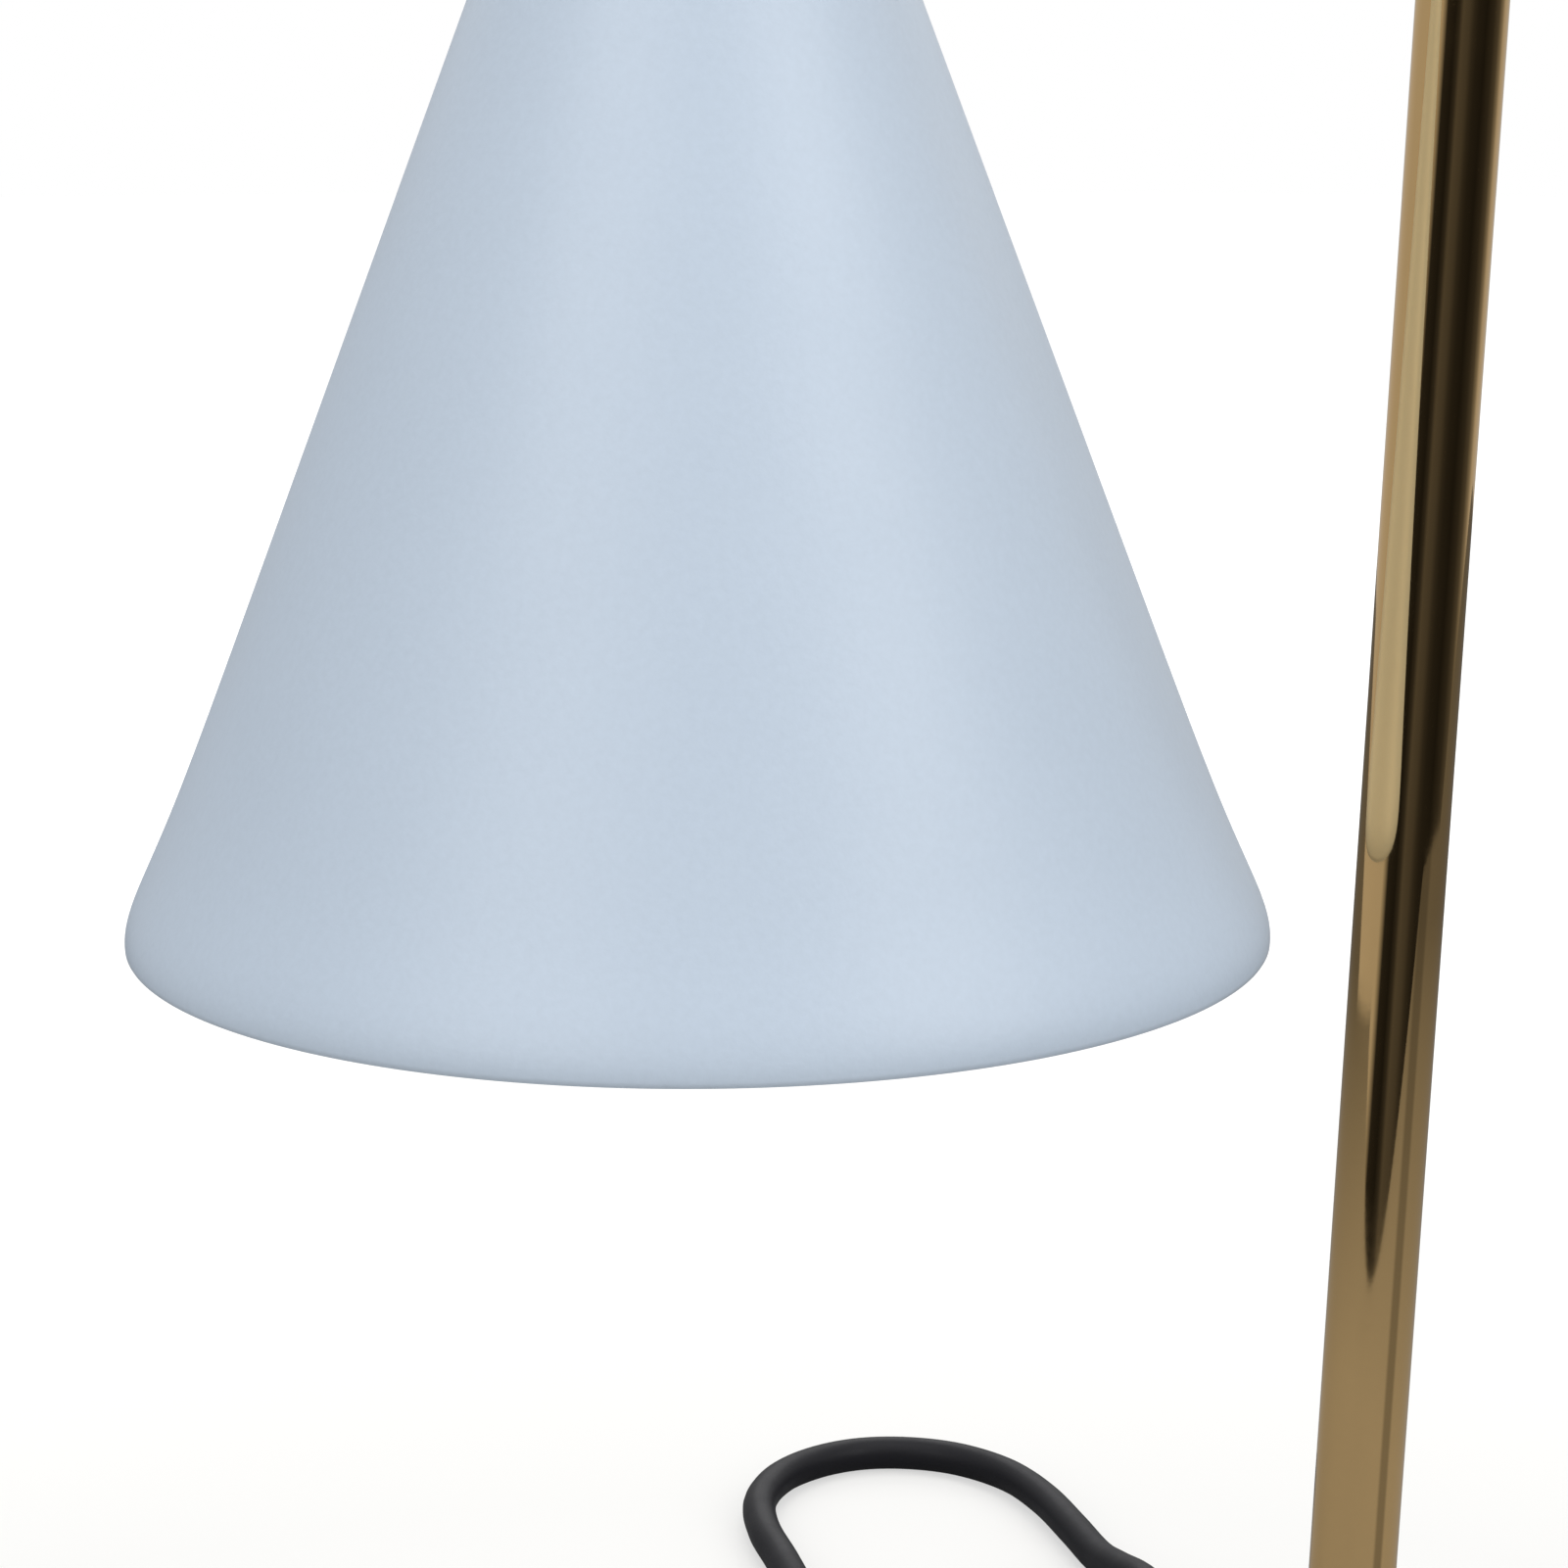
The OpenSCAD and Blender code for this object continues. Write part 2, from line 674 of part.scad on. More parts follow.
module cord_gland() {
    color(black_pvc) at_gland() difference() {
        union() {
            translate([0, 0, -cover_t - 0.2]) cylinder(r = gland_waist_r, h = cover_t + 0.4);
            translate([0, 0, -cover_t - 2.2]) cylinder(r1 = gland_waist_r, r2 = gland_barb_r, h = 2);
            cylinder(r = gland_flange_r, h = gland_flange_t);
            translate([0, 0, gland_flange_t])
                cylinder(r1 = gland_barb_r, r2 = gland_tip_r, h = gland_l - gland_flange_t);
        }
        translate([0, 0, -gland_l]) cylinder(r = cord_r + thread_gap, h = 3 * gland_l);
    }
}

// The cord's jacket inside the gland, and its two cores, bent round to the terminals
module cord_entry() {
    color("dimgray") {
        at_gland() translate([0, 0, -jacket_in]) cylinder(r = cord_r, h = jacket_in + gland_l);
        for (s = [-1, 1]) rotate([0, 0, terminal_angle]) {
            translate([core_turn[0], core_turn[1], gland_z]) rotate([0, 0, 90 + core_delta])
                bent_rod(core_turn_r + s * lead_offset, 90 - core_delta, lead_r);
            translate([core_down_x + s * lead_offset, core_turn[1] + lap, gland_z])
                rotate([90, 0, 0])
                    cylinder(r = lead_r, h = core_turn[1] + lap - terminal_l * 2 / 3);
        }
    }
}

// ---- Knuckle ---------------------------------------------------------------------------------

// A disc with its axis along Y, from y = low to y = high, about the pivot
module pivot_disc(r, low, high) {
    translate([0, high, pivot_z]) rotate([90, 0, 0]) cylinder(r = r, h = high - low);
}

module arm_fork() {
    color(gold) at_head() difference() {
        union() {
            translate([0, 0, fork_deck_z]) cylinder(r = ear_r, h = tube_end_z - fork_deck_z);
            translate([0, 0, tube_end_z]) cylinder(r = bore_r - thread_gap, h = fork_plug_l);
            for (s = [-1, 1]) {
                low = s > 0 ? ear_in_y : -ear_out_y;
                pivot_disc(ear_r, low, low + ear_t);
                translate([-ear_r, low, pivot_z]) cube([2 * ear_r, ear_t, fork_deck_z - pivot_z + 1]);
            }
        }
        pivot_disc(pivot_r + thread_gap, -2 * ear_out_y, 2 * ear_out_y);
        cylinder(r = fork_bore_r, h = 2 * tube_end_z);
    }
}

module pivot_screw() {
    color(gold) at_head() difference() {
        union() {
            pivot_disc(pivot_r, -ear_out_y - 1, ear_out_y + pivot_nut_h - 0.5);
            pivot_disc(pivot_head_r, -ear_out_y - pivot_head_h, -ear_out_y);
        }
        translate([-pivot_head_r - 1, -ear_out_y - pivot_head_h - 1, pivot_z - 0.4])
            cube([2 * pivot_head_r + 2, 2, 0.8]);
    }
}

module pivot_nut() {
    color(gold) at_head() difference() {
        union() {
            translate([0, ear_out_y, pivot_z]) rotate([-90, 0, 0]) hex_prism(pivot_nut_flat, pivot_nut_h);
            translate([0, ear_out_y + pivot_nut_h, pivot_z]) intersection() {
                sphere(pivot_cap_r);
                translate([-pivot_cap_r, -0.5, -pivot_cap_r])
                    cube([2 * pivot_cap_r, 2 * pivot_cap_r, 2 * pivot_cap_r]);
            }
        }
        pivot_disc(pivot_r + thread_gap, 0, ear_out_y + pivot_nut_h);
    }
}

module friction_washers() {
    color("whitesmoke") at_head() for (s = [-1, 1]) {
        low = s > 0 ? tongue_t / 2 + washer_air : -tongue_t / 2 - washer_air - washer_t;
        difference() {
            pivot_disc(tongue_r, low, low + washer_t);
            pivot_disc(pivot_r + thread_gap, low - 1, low + 2);
        }
    }
}

// ---- Head ------------------------------------------------------------------------------------

module head_tongue() {
    neck_low_z = cup_top_z + tongue_flange_h;
    color(gold) at_head() difference() {
        union() {
            pivot_disc(tongue_r, -tongue_t / 2, tongue_t / 2);
            translate([-tongue_neck_w / 2, -tongue_t / 2, neck_low_z - 0.5])
                cube([tongue_neck_w, tongue_t, pivot_z - neck_low_z]);
            translate([0, 0, cup_top_z]) cylinder(r = tongue_flange_r, h = tongue_flange_h);
            translate([0, 0, stem_end_z]) cylinder(r = stem_r, h = cup_top_z - stem_end_z + 1);
        }
        pivot_disc(pivot_r + pivot_gap, -tongue_t, tongue_t);
        translate([0, 0, stem_end_z - 1]) cylinder(r = stem_bore_r, h = cup_top_z - stem_end_z + 1);
    }
}

module stem_nut() {
    color(steel) at_head() translate([0, 0, nut_z]) difference() {
        hex_prism(stem_nut_flat, stem_nut_h);
        translate([0, 0, -1]) cylinder(r = stem_r + thread_gap, h = stem_nut_h + 2);
    }
}

module socket_cup() {
    cup_round = 5;
    color(gold) at_head() difference() {
        union() {
            translate([0, 0, shade_top_z]) cylinder(r = cup_r, h = cup_h - cup_round);
            translate([0, 0, cup_top_z - cup_round]) rotate_extrude() union() {
                square([cup_r - cup_round, cup_round]);
                translate([cup_r - cup_round, 0]) intersection() {
                    circle(cup_round);
                    square(cup_round);
                }
            }
            translate([0, 0, shade_top_z - spigot_h]) cylinder(r = spigot_r, h = spigot_h + 1);
        }
        translate([0, 0, shade_top_z - spigot_h - 1])
            cylinder(r = cup_bore_r, h = cup_bore_top_z - cup_round - shade_top_z + spigot_h + 1);
        translate([0, 0, cup_bore_top_z - cup_round - 0.5]) cylinder(r = cup_bore_r - 1, h = cup_round + 0.5);
        cylinder(r = stem_r + thread_gap, h = 2 * cup_top_z);
    }
}

module holder_bracket() {
    plate_low_z = cup_bore_top_z - bracket_t;
    color(steel) at_head() difference() {
        union() {
            translate([0, 0, plate_low_z]) cylinder(r = cup_bore_r - 1 - loose_gap, h = bracket_t);
            for (sy = [-1, 1]) translate([0, sy * holder_screw_offset, holder_top_z])
                cylinder(r = bracket_post_r, h = plate_low_z - holder_top_z + 0.5);
        }
        cylinder(r = stem_r + thread_gap, h = 2 * cup_top_z);
        for (sy = [-1, 1]) translate([0, sy * holder_screw_offset, holder_top_z - 1])
            cylinder(r = holder_screw_r + thread_gap, h = 1 + holder_screw_grip + 0.5);
    }
}

// The keyhole way of one contact pin, from its locked place round to where it lifts out
module pin_way(r, low_z, high_z) {
    for (side = [0, 180]) rotate([0, 0, side]) translate([0, 0, low_z]) {
        rotate_extrude(angle = twist_angle)
            translate([pin_offset - r, 0]) square([2 * r, high_z - low_z]);
        for (a = [0, twist_angle]) rotate([0, 0, a]) translate([pin_offset, 0, 0])
            cylinder(r = r, h = high_z - low_z);
    }
}

module lampholder() {
    color(ceramic_white) at_head() difference() {
        translate([0, 0, seat_z]) cylinder(r = holder_r, h = holder_h);
        pin_way(pin_neck_r + slot_air, seat_z - 1, seat_z + pin_face_t + 0.1);
        pin_way(pin_head_r + slot_air, seat_z + pin_face_t, chamber_top_z);
        for (side = [0, 180]) rotate([0, 0, side]) {
            rotate([0, 0, twist_angle]) translate([pin_offset, 0, seat_z - 1])
                cylinder(r = pin_head_r + slot_air, h = pin_face_t + 2);
            translate([pin_offset, 0, seat_z]) cylinder(r = rivet_r + thread_gap, h = 2 * holder_h);
        }
        for (sy = [-1, 1]) translate([0, sy * holder_screw_offset, seat_z - 1]) {
            cylinder(r = holder_screw_r + loose_gap, h = holder_h + 2);
            cylinder(r = holder_head_r + loose_gap, h = holder_head_h + 1.8);
        }
    }
}

module holder_screws() {
    color(steel) at_head() for (sy = [-1, 1])
        translate([0, sy * holder_screw_offset, seat_z + holder_head_h + 0.8])
            screw_up(holder_screw_r, holder_h - holder_head_h + 4, holder_head_r, holder_head_h);
}

module contact_springs() {
    color("gold") at_head() for (side = [0, 180]) rotate([0, 0, side])
        translate([pin_offset, 0, pin_top_z + contact_air]) {
            cylinder(r = contact_r, h = contact_t);
            cylinder(r = rivet_r, h = rivet_top_z - pin_top_z - contact_air);
        }
}

// Two wires from the contact rivets up into the hollow stem
module head_leads() {
    rise = lead_bow_r * sin(lead_bow_angle);
    color("white") at_head() for (side = [0, 180]) rotate([0, 0, side]) {
        translate([pin_offset - lead_bow_r, 0, rivet_top_z]) upright()
            bent_rod(lead_bow_r, lead_bow_angle, lead_r);
        translate([lead_offset + lead_bow_r, 0, rivet_top_z + 2 * rise]) upright()
            rotate([0, 0, 180]) bent_rod(lead_bow_r, lead_bow_angle, lead_r);
        translate([(pin_offset + lead_offset) / 2, 0, rivet_top_z + rise])
            rotate([0, -lead_bow_angle, 0]) lap_rod(lead_r);
        translate([lead_offset, 0, rivet_top_z + 2 * rise - lap])
            cylinder(r = lead_r, h = cup_top_z - rivet_top_z - 2 * rise + lap - 0.5);
    }
}

// Outer radius of the shade at height z above its rim: a straight side, and a soft swell at the rim
function side_r(z) = shade_r - shade_slope * z + rim_swell * z / swell_z * exp(1 - z / swell_z);

module shade() {
    swell_heights = [for (i = [0:8]) i * swell_z / 2];
    outside = [for (z = swell_heights) [side_r(z), z]];
    inside = [for (i = [8:-1:0]) outside[i] - [shade_t, 0]];
    hem_x = side_r(hem_r) - shade_t - hem_r / 2;
    color(coat_blue) at_head() translate([0, 0, rim_z]) difference() {
        rotate_extrude($fn = 180) union() {
            polygon(concat(outside, [
                [shade_top_r, shade_h], [spigot_r - 1, shade_h], [spigot_r - 1, shade_h - shade_t],
                [shade_top_r - shade_t, shade_h - shade_t]
            ], inside));
            translate([hem_x, hem_r]) circle(hem_r, $fn = 24);
        }
        cylinder(r = shade_hole_r, h = 2 * shade_h);
    }
}

module shade_ring() {
    color("whitesmoke") at_head() translate([0, 0, shade_top_z - shade_t - ring_t]) difference() {
        cylinder(r = ring_r, h = ring_t);
        translate([0, 0, -1]) cylinder(r = spigot_r + thread_gap, h = ring_t + 2);
        for (i = [0:ring_notches - 1]) rotate([0, 0, 360 / ring_notches * i])
            translate([ring_r + 0.5, 0, -1]) cylinder(r = ring_notch_r, h = ring_t + 2, $fn = 16);
    }
}

// ---- Bulb ------------------------------------------------------------------------------------

module bulb_foot() {
    color(ceramic_white) at_head() difference() {
        union() {
            translate([0, 0, bulb_neck_z]) cylinder(r = bulb_foot_r, h = bulb_foot_h);
            translate([0, 0, bulb_neck_z - capsule_boss_h])
                cylinder(r = capsule_r, h = capsule_boss_h + 1);
        }
        for (side = [-1, 1]) translate([side * pin_offset, 0, bulb_top_z - pin_hole_depth])
            cylinder(r = pin_neck_r + thread_gap, h = pin_hole_depth + 1);
        translate([0, 0, bulb_neck_z - capsule_boss_h - 1])
            cylinder(r = capsule_stem_r + thread_gap, h = capsule_stem_l + 1);
    }
}

module bulb_pins() {
    color(steel) at_head() for (side = [-1, 1]) translate([side * pin_offset, 0, 0]) {
        translate([0, 0, bulb_top_z - pin_root_l])
            cylinder(r = pin_neck_r, h = head_bed_z - bulb_top_z + pin_root_l + 0.1);
        translate([0, 0, head_bed_z]) cylinder(r = pin_head_r, h = pin_head_h);
    }
}

// Radius of the bowl at height z: a paraboloid, so the square of the radius grows evenly
function bowl_r(z) = sqrt(bulb_neck_r * bulb_neck_r + bulb_bowl_k * (bulb_neck_z - z));

module bulb_reflector() {
    steps = 12;
    bowl_h = bulb_neck_z - bulb_flare_z;
    heights = [for (i = [0:steps]) bulb_neck_z - bowl_h * i / steps];
    outside = [for (z = heights) [bowl_r(z), z]];
    inside = [for (i = [steps:-1:0]) [bowl_r(heights[i]) - bulb_glass_t, heights[i]]];
    color("silver") at_head() rotate_extrude($fn = 72) polygon(concat(outside,
        [[bulb_r, bulb_face_z], [bulb_r - bulb_glass_t, bulb_face_z]], inside));
}

module bulb_lens() {
    color("aliceblue") at_head() translate([0, 0, bulb_face_z + lens_recess])
        cylinder(r = bulb_r - bulb_glass_t - thread_gap, h = lens_t);
}

module bulb_capsule() {
    low_z = bulb_neck_z - capsule_boss_h - capsule_l;
    color("white") at_head() {
        translate([0, 0, bulb_neck_z - capsule_boss_h - 1])
            cylinder(r = capsule_stem_r, h = capsule_stem_l);
        translate([0, 0, low_z]) cylinder(r = capsule_r, h = capsule_l - thread_gap);
        translate([0, 0, low_z]) sphere(capsule_r, $fn = 48);
    }
}

// ---- Dimmer on the cord ----------------------------------------------------------------------

// The passages of both strain reliefs through the case's end walls
module relief_passages() {
    translate([0, -ctrl_l, ctrl_mid_z]) rotate([-90, 0, 0])
        cylinder(r = relief_waist_r + thread_gap, h = 2 * ctrl_l);
}

module boss_places() for (sx = [-1, 1], sy = [-1, 1])
    translate([sx * boss_at[0], sy * boss_at[1], 0]) children();

module control_bottom() {
    color(black_pvc) at_control() difference() {
        union() {
            difference() {
                rounded_plate(ctrl_w, ctrl_l, ctrl_corner_r, ctrl_mid_z);
                translate([0, 0, ctrl_wall]) rounded_plate(ctrl_w - 2 * ctrl_wall,
                    ctrl_l - 2 * ctrl_wall, ctrl_corner_r - ctrl_wall, ctrl_h);
            }
            boss_places() cylinder(r = boss_r, h = ctrl_mid_z);
            for (sx = [-1, 1], sy = [-1, 1])
                translate([sx * board_post_at[0], sy * board_post_at[1], 1])
                    cylinder(r = board_post_r, h = board_z - 1);
        }
        boss_places() translate([0, 0, -1]) {
            cylinder(r = ctrl_screw_r + loose_gap, h = ctrl_h);
            cylinder(r = ctrl_head_r + loose_gap, h = 1 + ctrl_head_h + 0.4);
        }
        relief_passages();
    }
}

module control_top() {
    inside_h = ctrl_h - ctrl_wall - ctrl_mid_z;
    color(black_pvc) at_control() difference() {
        union() {
            difference() {
                translate([0, 0, ctrl_mid_z])
                    rounded_plate(ctrl_w, ctrl_l, ctrl_corner_r, ctrl_h - ctrl_mid_z);
                translate([0, 0, ctrl_mid_z - 1]) rounded_plate(ctrl_w - 2 * ctrl_wall,
                    ctrl_l - 2 * ctrl_wall, ctrl_corner_r - ctrl_wall, inside_h + 1);
            }
            boss_places() translate([0, 0, ctrl_mid_z]) cylinder(r = boss_r, h = inside_h + 0.5);
        }
        boss_places() translate([0, 0, ctrl_mid_z - 1])
            cylinder(r = ctrl_screw_r + thread_gap, h = inside_h);
        translate([0, knob_y, ctrl_mid_z]) cylinder(r = shaft_hole_r, h = ctrl_h);
        translate([0, button_y, ctrl_mid_z]) cylinder(r = button_r + loose_gap, h = ctrl_h);
        translate([0, pipe_y, ctrl_mid_z]) cylinder(r = pipe_r + thread_gap, h = ctrl_h);
        relief_passages();
    }
}

module control_board() {
    color("darkgreen") at_control() {
        translate([-board_w / 2, -board_l / 2, board_z]) cube([board_w, board_l, board_t]);
        translate([-chip_x, cap_y, board_top_z]) cylinder(r = cap_r, h = cap_h);
        translate([chip_x, cap_y, board_top_z]) rotate([0, 0, 90])
            translate([-triac_w / 2, -triac_t / 2, 0]) cube([triac_w, triac_t, cap_h]);
        translate([chip_x, -cap_y - triac_w, board_top_z]) translate([-triac_t / 2, -triac_w, 0])
            cube([triac_t, triac_w, switch_h]);
        translate([-led_w / 2, pipe_y - led_w / 2, board_top_z]) cube([led_w, led_w, led_h]);
    }
}

module dimmer_pot() {
    color("steelblue") at_control() translate([-pot_w / 2, knob_y - pot_w / 2, board_top_z])
        difference() {
            cube([pot_w, pot_w, pot_h]);
            translate([pot_w / 2, pot_w / 2, pot_h - pot_socket])
                cylinder(r = shaft_r + pivot_gap, h = pot_h);
        }
}

module dimmer_shaft() {
    low_z = board_top_z + pot_h - pot_socket + 0.1;
    color(steel) at_control() translate([0, knob_y, low_z])
        cylinder(r = shaft_r, h = ctrl_h + knob_air + knob_h - 2 - low_z);
}

module dimmer_knob() {
    color("dimgray") at_control() translate([0, knob_y, ctrl_h + knob_air]) difference() {
        union() {
            cylinder(r = knob_r, h = knob_h - 1);
            translate([0, 0, knob_h - 1]) cylinder(r1 = knob_r, r2 = knob_r - 1, h = 1);
        }
        translate([0, 0, -1]) cylinder(r = shaft_r + thread_gap, h = knob_h - 0.9);
        for (i = [0:knob_flutes - 1]) rotate([0, 0, 360 / knob_flutes * i])
            translate([knob_r + 0.3, 0, -1]) cylinder(r = knob_flute_r, h = knob_h + 2, $fn = 16);
        translate([knob_r - 5, -0.4, knob_h - 0.5]) cube([4, 0.8, 1]);
    }
}

module timer_button() {
    flange_top_z = ctrl_h - ctrl_wall - loose_gap;
    stem_low_z = board_top_z + switch_h + button_travel + 0.1;
    color("dimgray") at_control() translate([0, button_y, 0]) {
        translate([0, 0, flange_top_z - 0.5])
            cylinder(r = button_r, h = ctrl_h + button_rise - flange_top_z + 0.5);
        translate([0, 0, flange_top_z - button_flange_t]) cylinder(r = button_flange_r, h = button_flange_t);
        translate([0, 0, stem_low_z]) cylinder(r = button_stem_r, h = flange_top_z - stem_low_z);
    }
}

module timer_switch() {
    color("black") at_control() translate([-switch_w / 2, button_y - switch_w / 2, board_top_z])
        cube([switch_w, switch_w, switch_h]);
}

module light_pipe() {
    low_z = board_top_z + led_h + 0.1;
    color("white") at_control() translate([0, pipe_y, 0]) {
        translate([0, 0, low_z]) cylinder(r = pipe_r, h = ctrl_h + 0.2 - low_z);
        translate([0, 0, ctrl_h - ctrl_wall - 1]) cylinder(r = pipe_r + 0.8, h = 1);
    }
}

module control_screws() {
    color(steel) at_control() boss_places() translate([0, 0, ctrl_head_h + 0.4])
        screw_up(ctrl_screw_r, ctrl_mid_z + 2, ctrl_head_r, ctrl_head_h);
}

// A strain relief on the dimmer's end: snap flange inside, tapered sleeve outside. Local Z points out
module relief() {
    rotate([-90, 0, 0]) difference() {
        union() {
            translate([0, 0, -ctrl_wall - relief_flange_t - 0.1])
                cylinder(r = relief_base_r, h = relief_flange_t);
            translate([0, 0, -ctrl_wall - 0.2]) cylinder(r = relief_waist_r, h = ctrl_wall + 0.4);
            translate([0, 0, 0.05]) cylinder(r1 = relief_base_r, r2 = relief_tip_r, h = relief_l - 0.05);
        }
        translate([0, 0, -ctrl_l]) cylinder(r = cord_r + thread_gap, h = 2 * ctrl_l);
    }
}

module relief_in() {
    color(black_pvc) at_control() translate([0, ctrl_l / 2, ctrl_mid_z]) relief();
}

module relief_out() {
    color(black_pvc) at_control() rotate([0, 0, 180]) translate([0, ctrl_l / 2, ctrl_mid_z]) relief();
}

// The cord's jackets inside both reliefs, with their cores laid on the board
module control_stubs() {
    inside_end = board_l / 2 + 3;
    tip = ctrl_l / 2 + relief_l;
    color("dimgray") at_control() for (turn = [0, 180]) rotate([0, 0, turn]) {
        translate([0, tip, ctrl_mid_z]) rotate([90, 0, 0]) cylinder(r = cord_r, h = tip - inside_end);
        for (s = [-1, 1]) translate([s * lead_offset, inside_end + 1, board_top_z + lead_r + 0.02])
            rotate([90, 0, 0]) cylinder(r = lead_r, h = inside_end + 2 - board_l / 2);
    }
}

// ---- Cord ------------------------------------------------------------------------------------

free_sides = 8;
coil_sides = 6;

function ease(t) = t * t * (3 - 2 * t);

// The middle of the coiled cord after t turns, wound left-handed from above
function coil_point(t) =
    let (r = coil_out_r - coil_pitch * min(t, coil_turns - t),
        climbed = (t - (coil_turns - coil_climb) / 2) / coil_climb,
        z = coil_low_z + coil_pitch * ease(min(max(climbed, 0), 1)))
    [coil_at[0] + r * cos(180 + 360 * t), coil_at[1] + r * sin(180 + 360 * t), z];

coil_steps = coil_turns * coil_rings;
coil_turning = [for (i = [0:coil_steps]) coil_point(i / coil_rings)];
coil_route = concat([coil_turning[0] + [0, cord_d, 0]], coil_turning,
    [coil_turning[coil_steps] + [0, cord_d, 0]]);

// The least air between two stretches of the coil that lie at least half a turn apart
least_gap = min([for (i = [0:coil_steps], j = [i + coil_rings / 2:1:coil_steps])
    norm(coil_turning[i] - coil_turning[j])]) - cord_d;
echo(least_gap_of_coil_mm = least_gap);

module cord_lead() {
    color(black_pvc) swept_tube(lead_route, cord_r, free_sides);
}

module cord_tail() {
    color(black_pvc) swept_tube(tail_route, cord_r, free_sides);
}

module cord_coil() {
    color(black_pvc) swept_tube(coil_route, cord_r, coil_sides);
}

module cord_end() {
    color(black_pvc) swept_tube(end_route, cord_r, free_sides);
}

// A flat strap round the bundle, on the side of the coil that faces the front
module cord_tie() {
    air = 0.6;
    low_r = coil_in_r - cord_r - air;
    high_r = coil_out_r + cord_r + loose_gap;
    top_z = coil_low_z + coil_pitch + cord_r + 0.15;
    color("dimgray") translate(coil_at) rotate([0, 0, -90]) difference() {
        translate([low_r - tie_t, -tie_w / 2, 0])
            cube([high_r - low_r + 2 * tie_t, tie_w, top_z + tie_t]);
        translate([low_r, -tie_w, tie_t]) cube([high_r - low_r, 2 * tie_w, top_z - tie_t]);
    }
}

module at_plug() translate(plug_at) rotate([0, 0, plug_heading]) children();

// A wedge outline that widens from the plug's back to its full size at the shoulder, and on past it
module plug_wedge(back, full) {
    slope = (full - back) / 2 / plug_shoulder_l;
    low = back / 2 - slope;
    high = back / 2 + slope * (plug_l + 1);
    polygon([[-1, -low], [plug_l + 1, -high], [plug_l + 1, high], [-1, low]]);
}

module plug_body() {
    color(black_pvc) at_plug() union() {
        rotate([0, 90, 0]) cylinder(r1 = plug_sleeve_r, r2 = plug_neck_r, h = plug_sleeve_l + 1);
        translate([plug_sleeve_l, 0, 0]) intersection() {
            rotate([0, 90, 0]) rounded_plate(plug_t, plug_w, plug_corner_r, plug_l);
            translate([0, 0, -plug_t]) linear_extrude(2 * plug_t) plug_wedge(plug_back_w, plug_w);
            rotate([90, 0, 0]) translate([0, 0, -plug_w]) linear_extrude(2 * plug_w)
                plug_wedge(plug_back_t, plug_t);
        }
    }
}

module plug_blades() {
    color("goldenrod") at_plug() for (s = [-1, 1])
        translate([plug_sleeve_l + plug_l, s * blade_pitch / 2 - blade_t / 2, -blade_w / 2]) difference() {
            cube([blade_l, blade_t, blade_w]);
            translate([blade_l - blade_hole_in, -1, blade_w / 2]) rotate([-90, 0, 0])
                cylinder(r = blade_hole_r, h = blade_t + 2);
        }
}

base_cover();
base_plate();
base_weight();
foot_pad();
plate_screws();
weight_screws();
pole_collar();
pole_block();
block_screws();
set_screw();
pole_tube();
inner_leads();
terminal_block();
cord_gland();
cord_entry();
arm_fork();
pivot_screw();
pivot_nut();
friction_washers();
head_tongue();
stem_nut();
socket_cup();
holder_bracket();
lampholder();
holder_screws();
contact_springs();
head_leads();
shade();
shade_ring();
bulb_foot();
bulb_pins();
bulb_reflector();
bulb_lens();
bulb_capsule();
control_bottom();
control_top();
control_board();
dimmer_pot();
dimmer_shaft();
dimmer_knob();
timer_button();
timer_switch();
light_pipe();
control_screws();
relief_in();
relief_out();
control_stubs();
cord_lead();
cord_tail();
cord_coil();
cord_end();
cord_tie();
plug_body();
plug_blades();
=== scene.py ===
# %% [markdown]
# A table lamp that warms wax from above with its bulb, dressed for a photograph. The packed
# construction is loaded first and stays where it is. Everything below is in metres, with +Z up, the
# origin in the middle of the base and +X towards the tube.

# %% Load the construction
import json
import math
import bmesh
import bpy
import numpy as np
from mathutils import Matrix, Vector


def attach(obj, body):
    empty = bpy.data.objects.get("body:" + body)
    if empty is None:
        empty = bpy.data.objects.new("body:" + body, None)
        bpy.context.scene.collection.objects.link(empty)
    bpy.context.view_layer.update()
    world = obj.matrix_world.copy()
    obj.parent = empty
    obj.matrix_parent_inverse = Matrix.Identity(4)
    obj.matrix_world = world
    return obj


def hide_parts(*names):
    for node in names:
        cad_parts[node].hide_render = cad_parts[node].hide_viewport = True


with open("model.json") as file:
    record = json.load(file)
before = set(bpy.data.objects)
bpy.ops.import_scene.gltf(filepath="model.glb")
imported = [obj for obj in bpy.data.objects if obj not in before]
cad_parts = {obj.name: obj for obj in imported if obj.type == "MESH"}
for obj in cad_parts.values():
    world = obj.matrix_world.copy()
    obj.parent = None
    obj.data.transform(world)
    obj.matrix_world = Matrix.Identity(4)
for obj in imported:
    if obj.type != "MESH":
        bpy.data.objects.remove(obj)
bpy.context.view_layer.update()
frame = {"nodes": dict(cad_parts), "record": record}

MM = 0.001
nodes = frame["nodes"]
scene = bpy.context.scene

# %% [markdown]
# The camera stands in front of the lamp, a little to the left and a hand's width above the shade's
# rim, and looks down by twelve degrees through a long lens. Its place was worked out from the
# outline of the shade, the ellipse of its rim and the two edges of the tube.

# %% Camera
CAMERA_AT = Vector((-0.1148, -0.3906, 0.26995))
CAMERA_RIGHT = Vector((0.96384, -0.26650, 0.0))
CAMERA_UP = Vector((0.05586, 0.20204, 0.97778))
CAMERA_BACK = CAMERA_RIGHT.cross(CAMERA_UP)

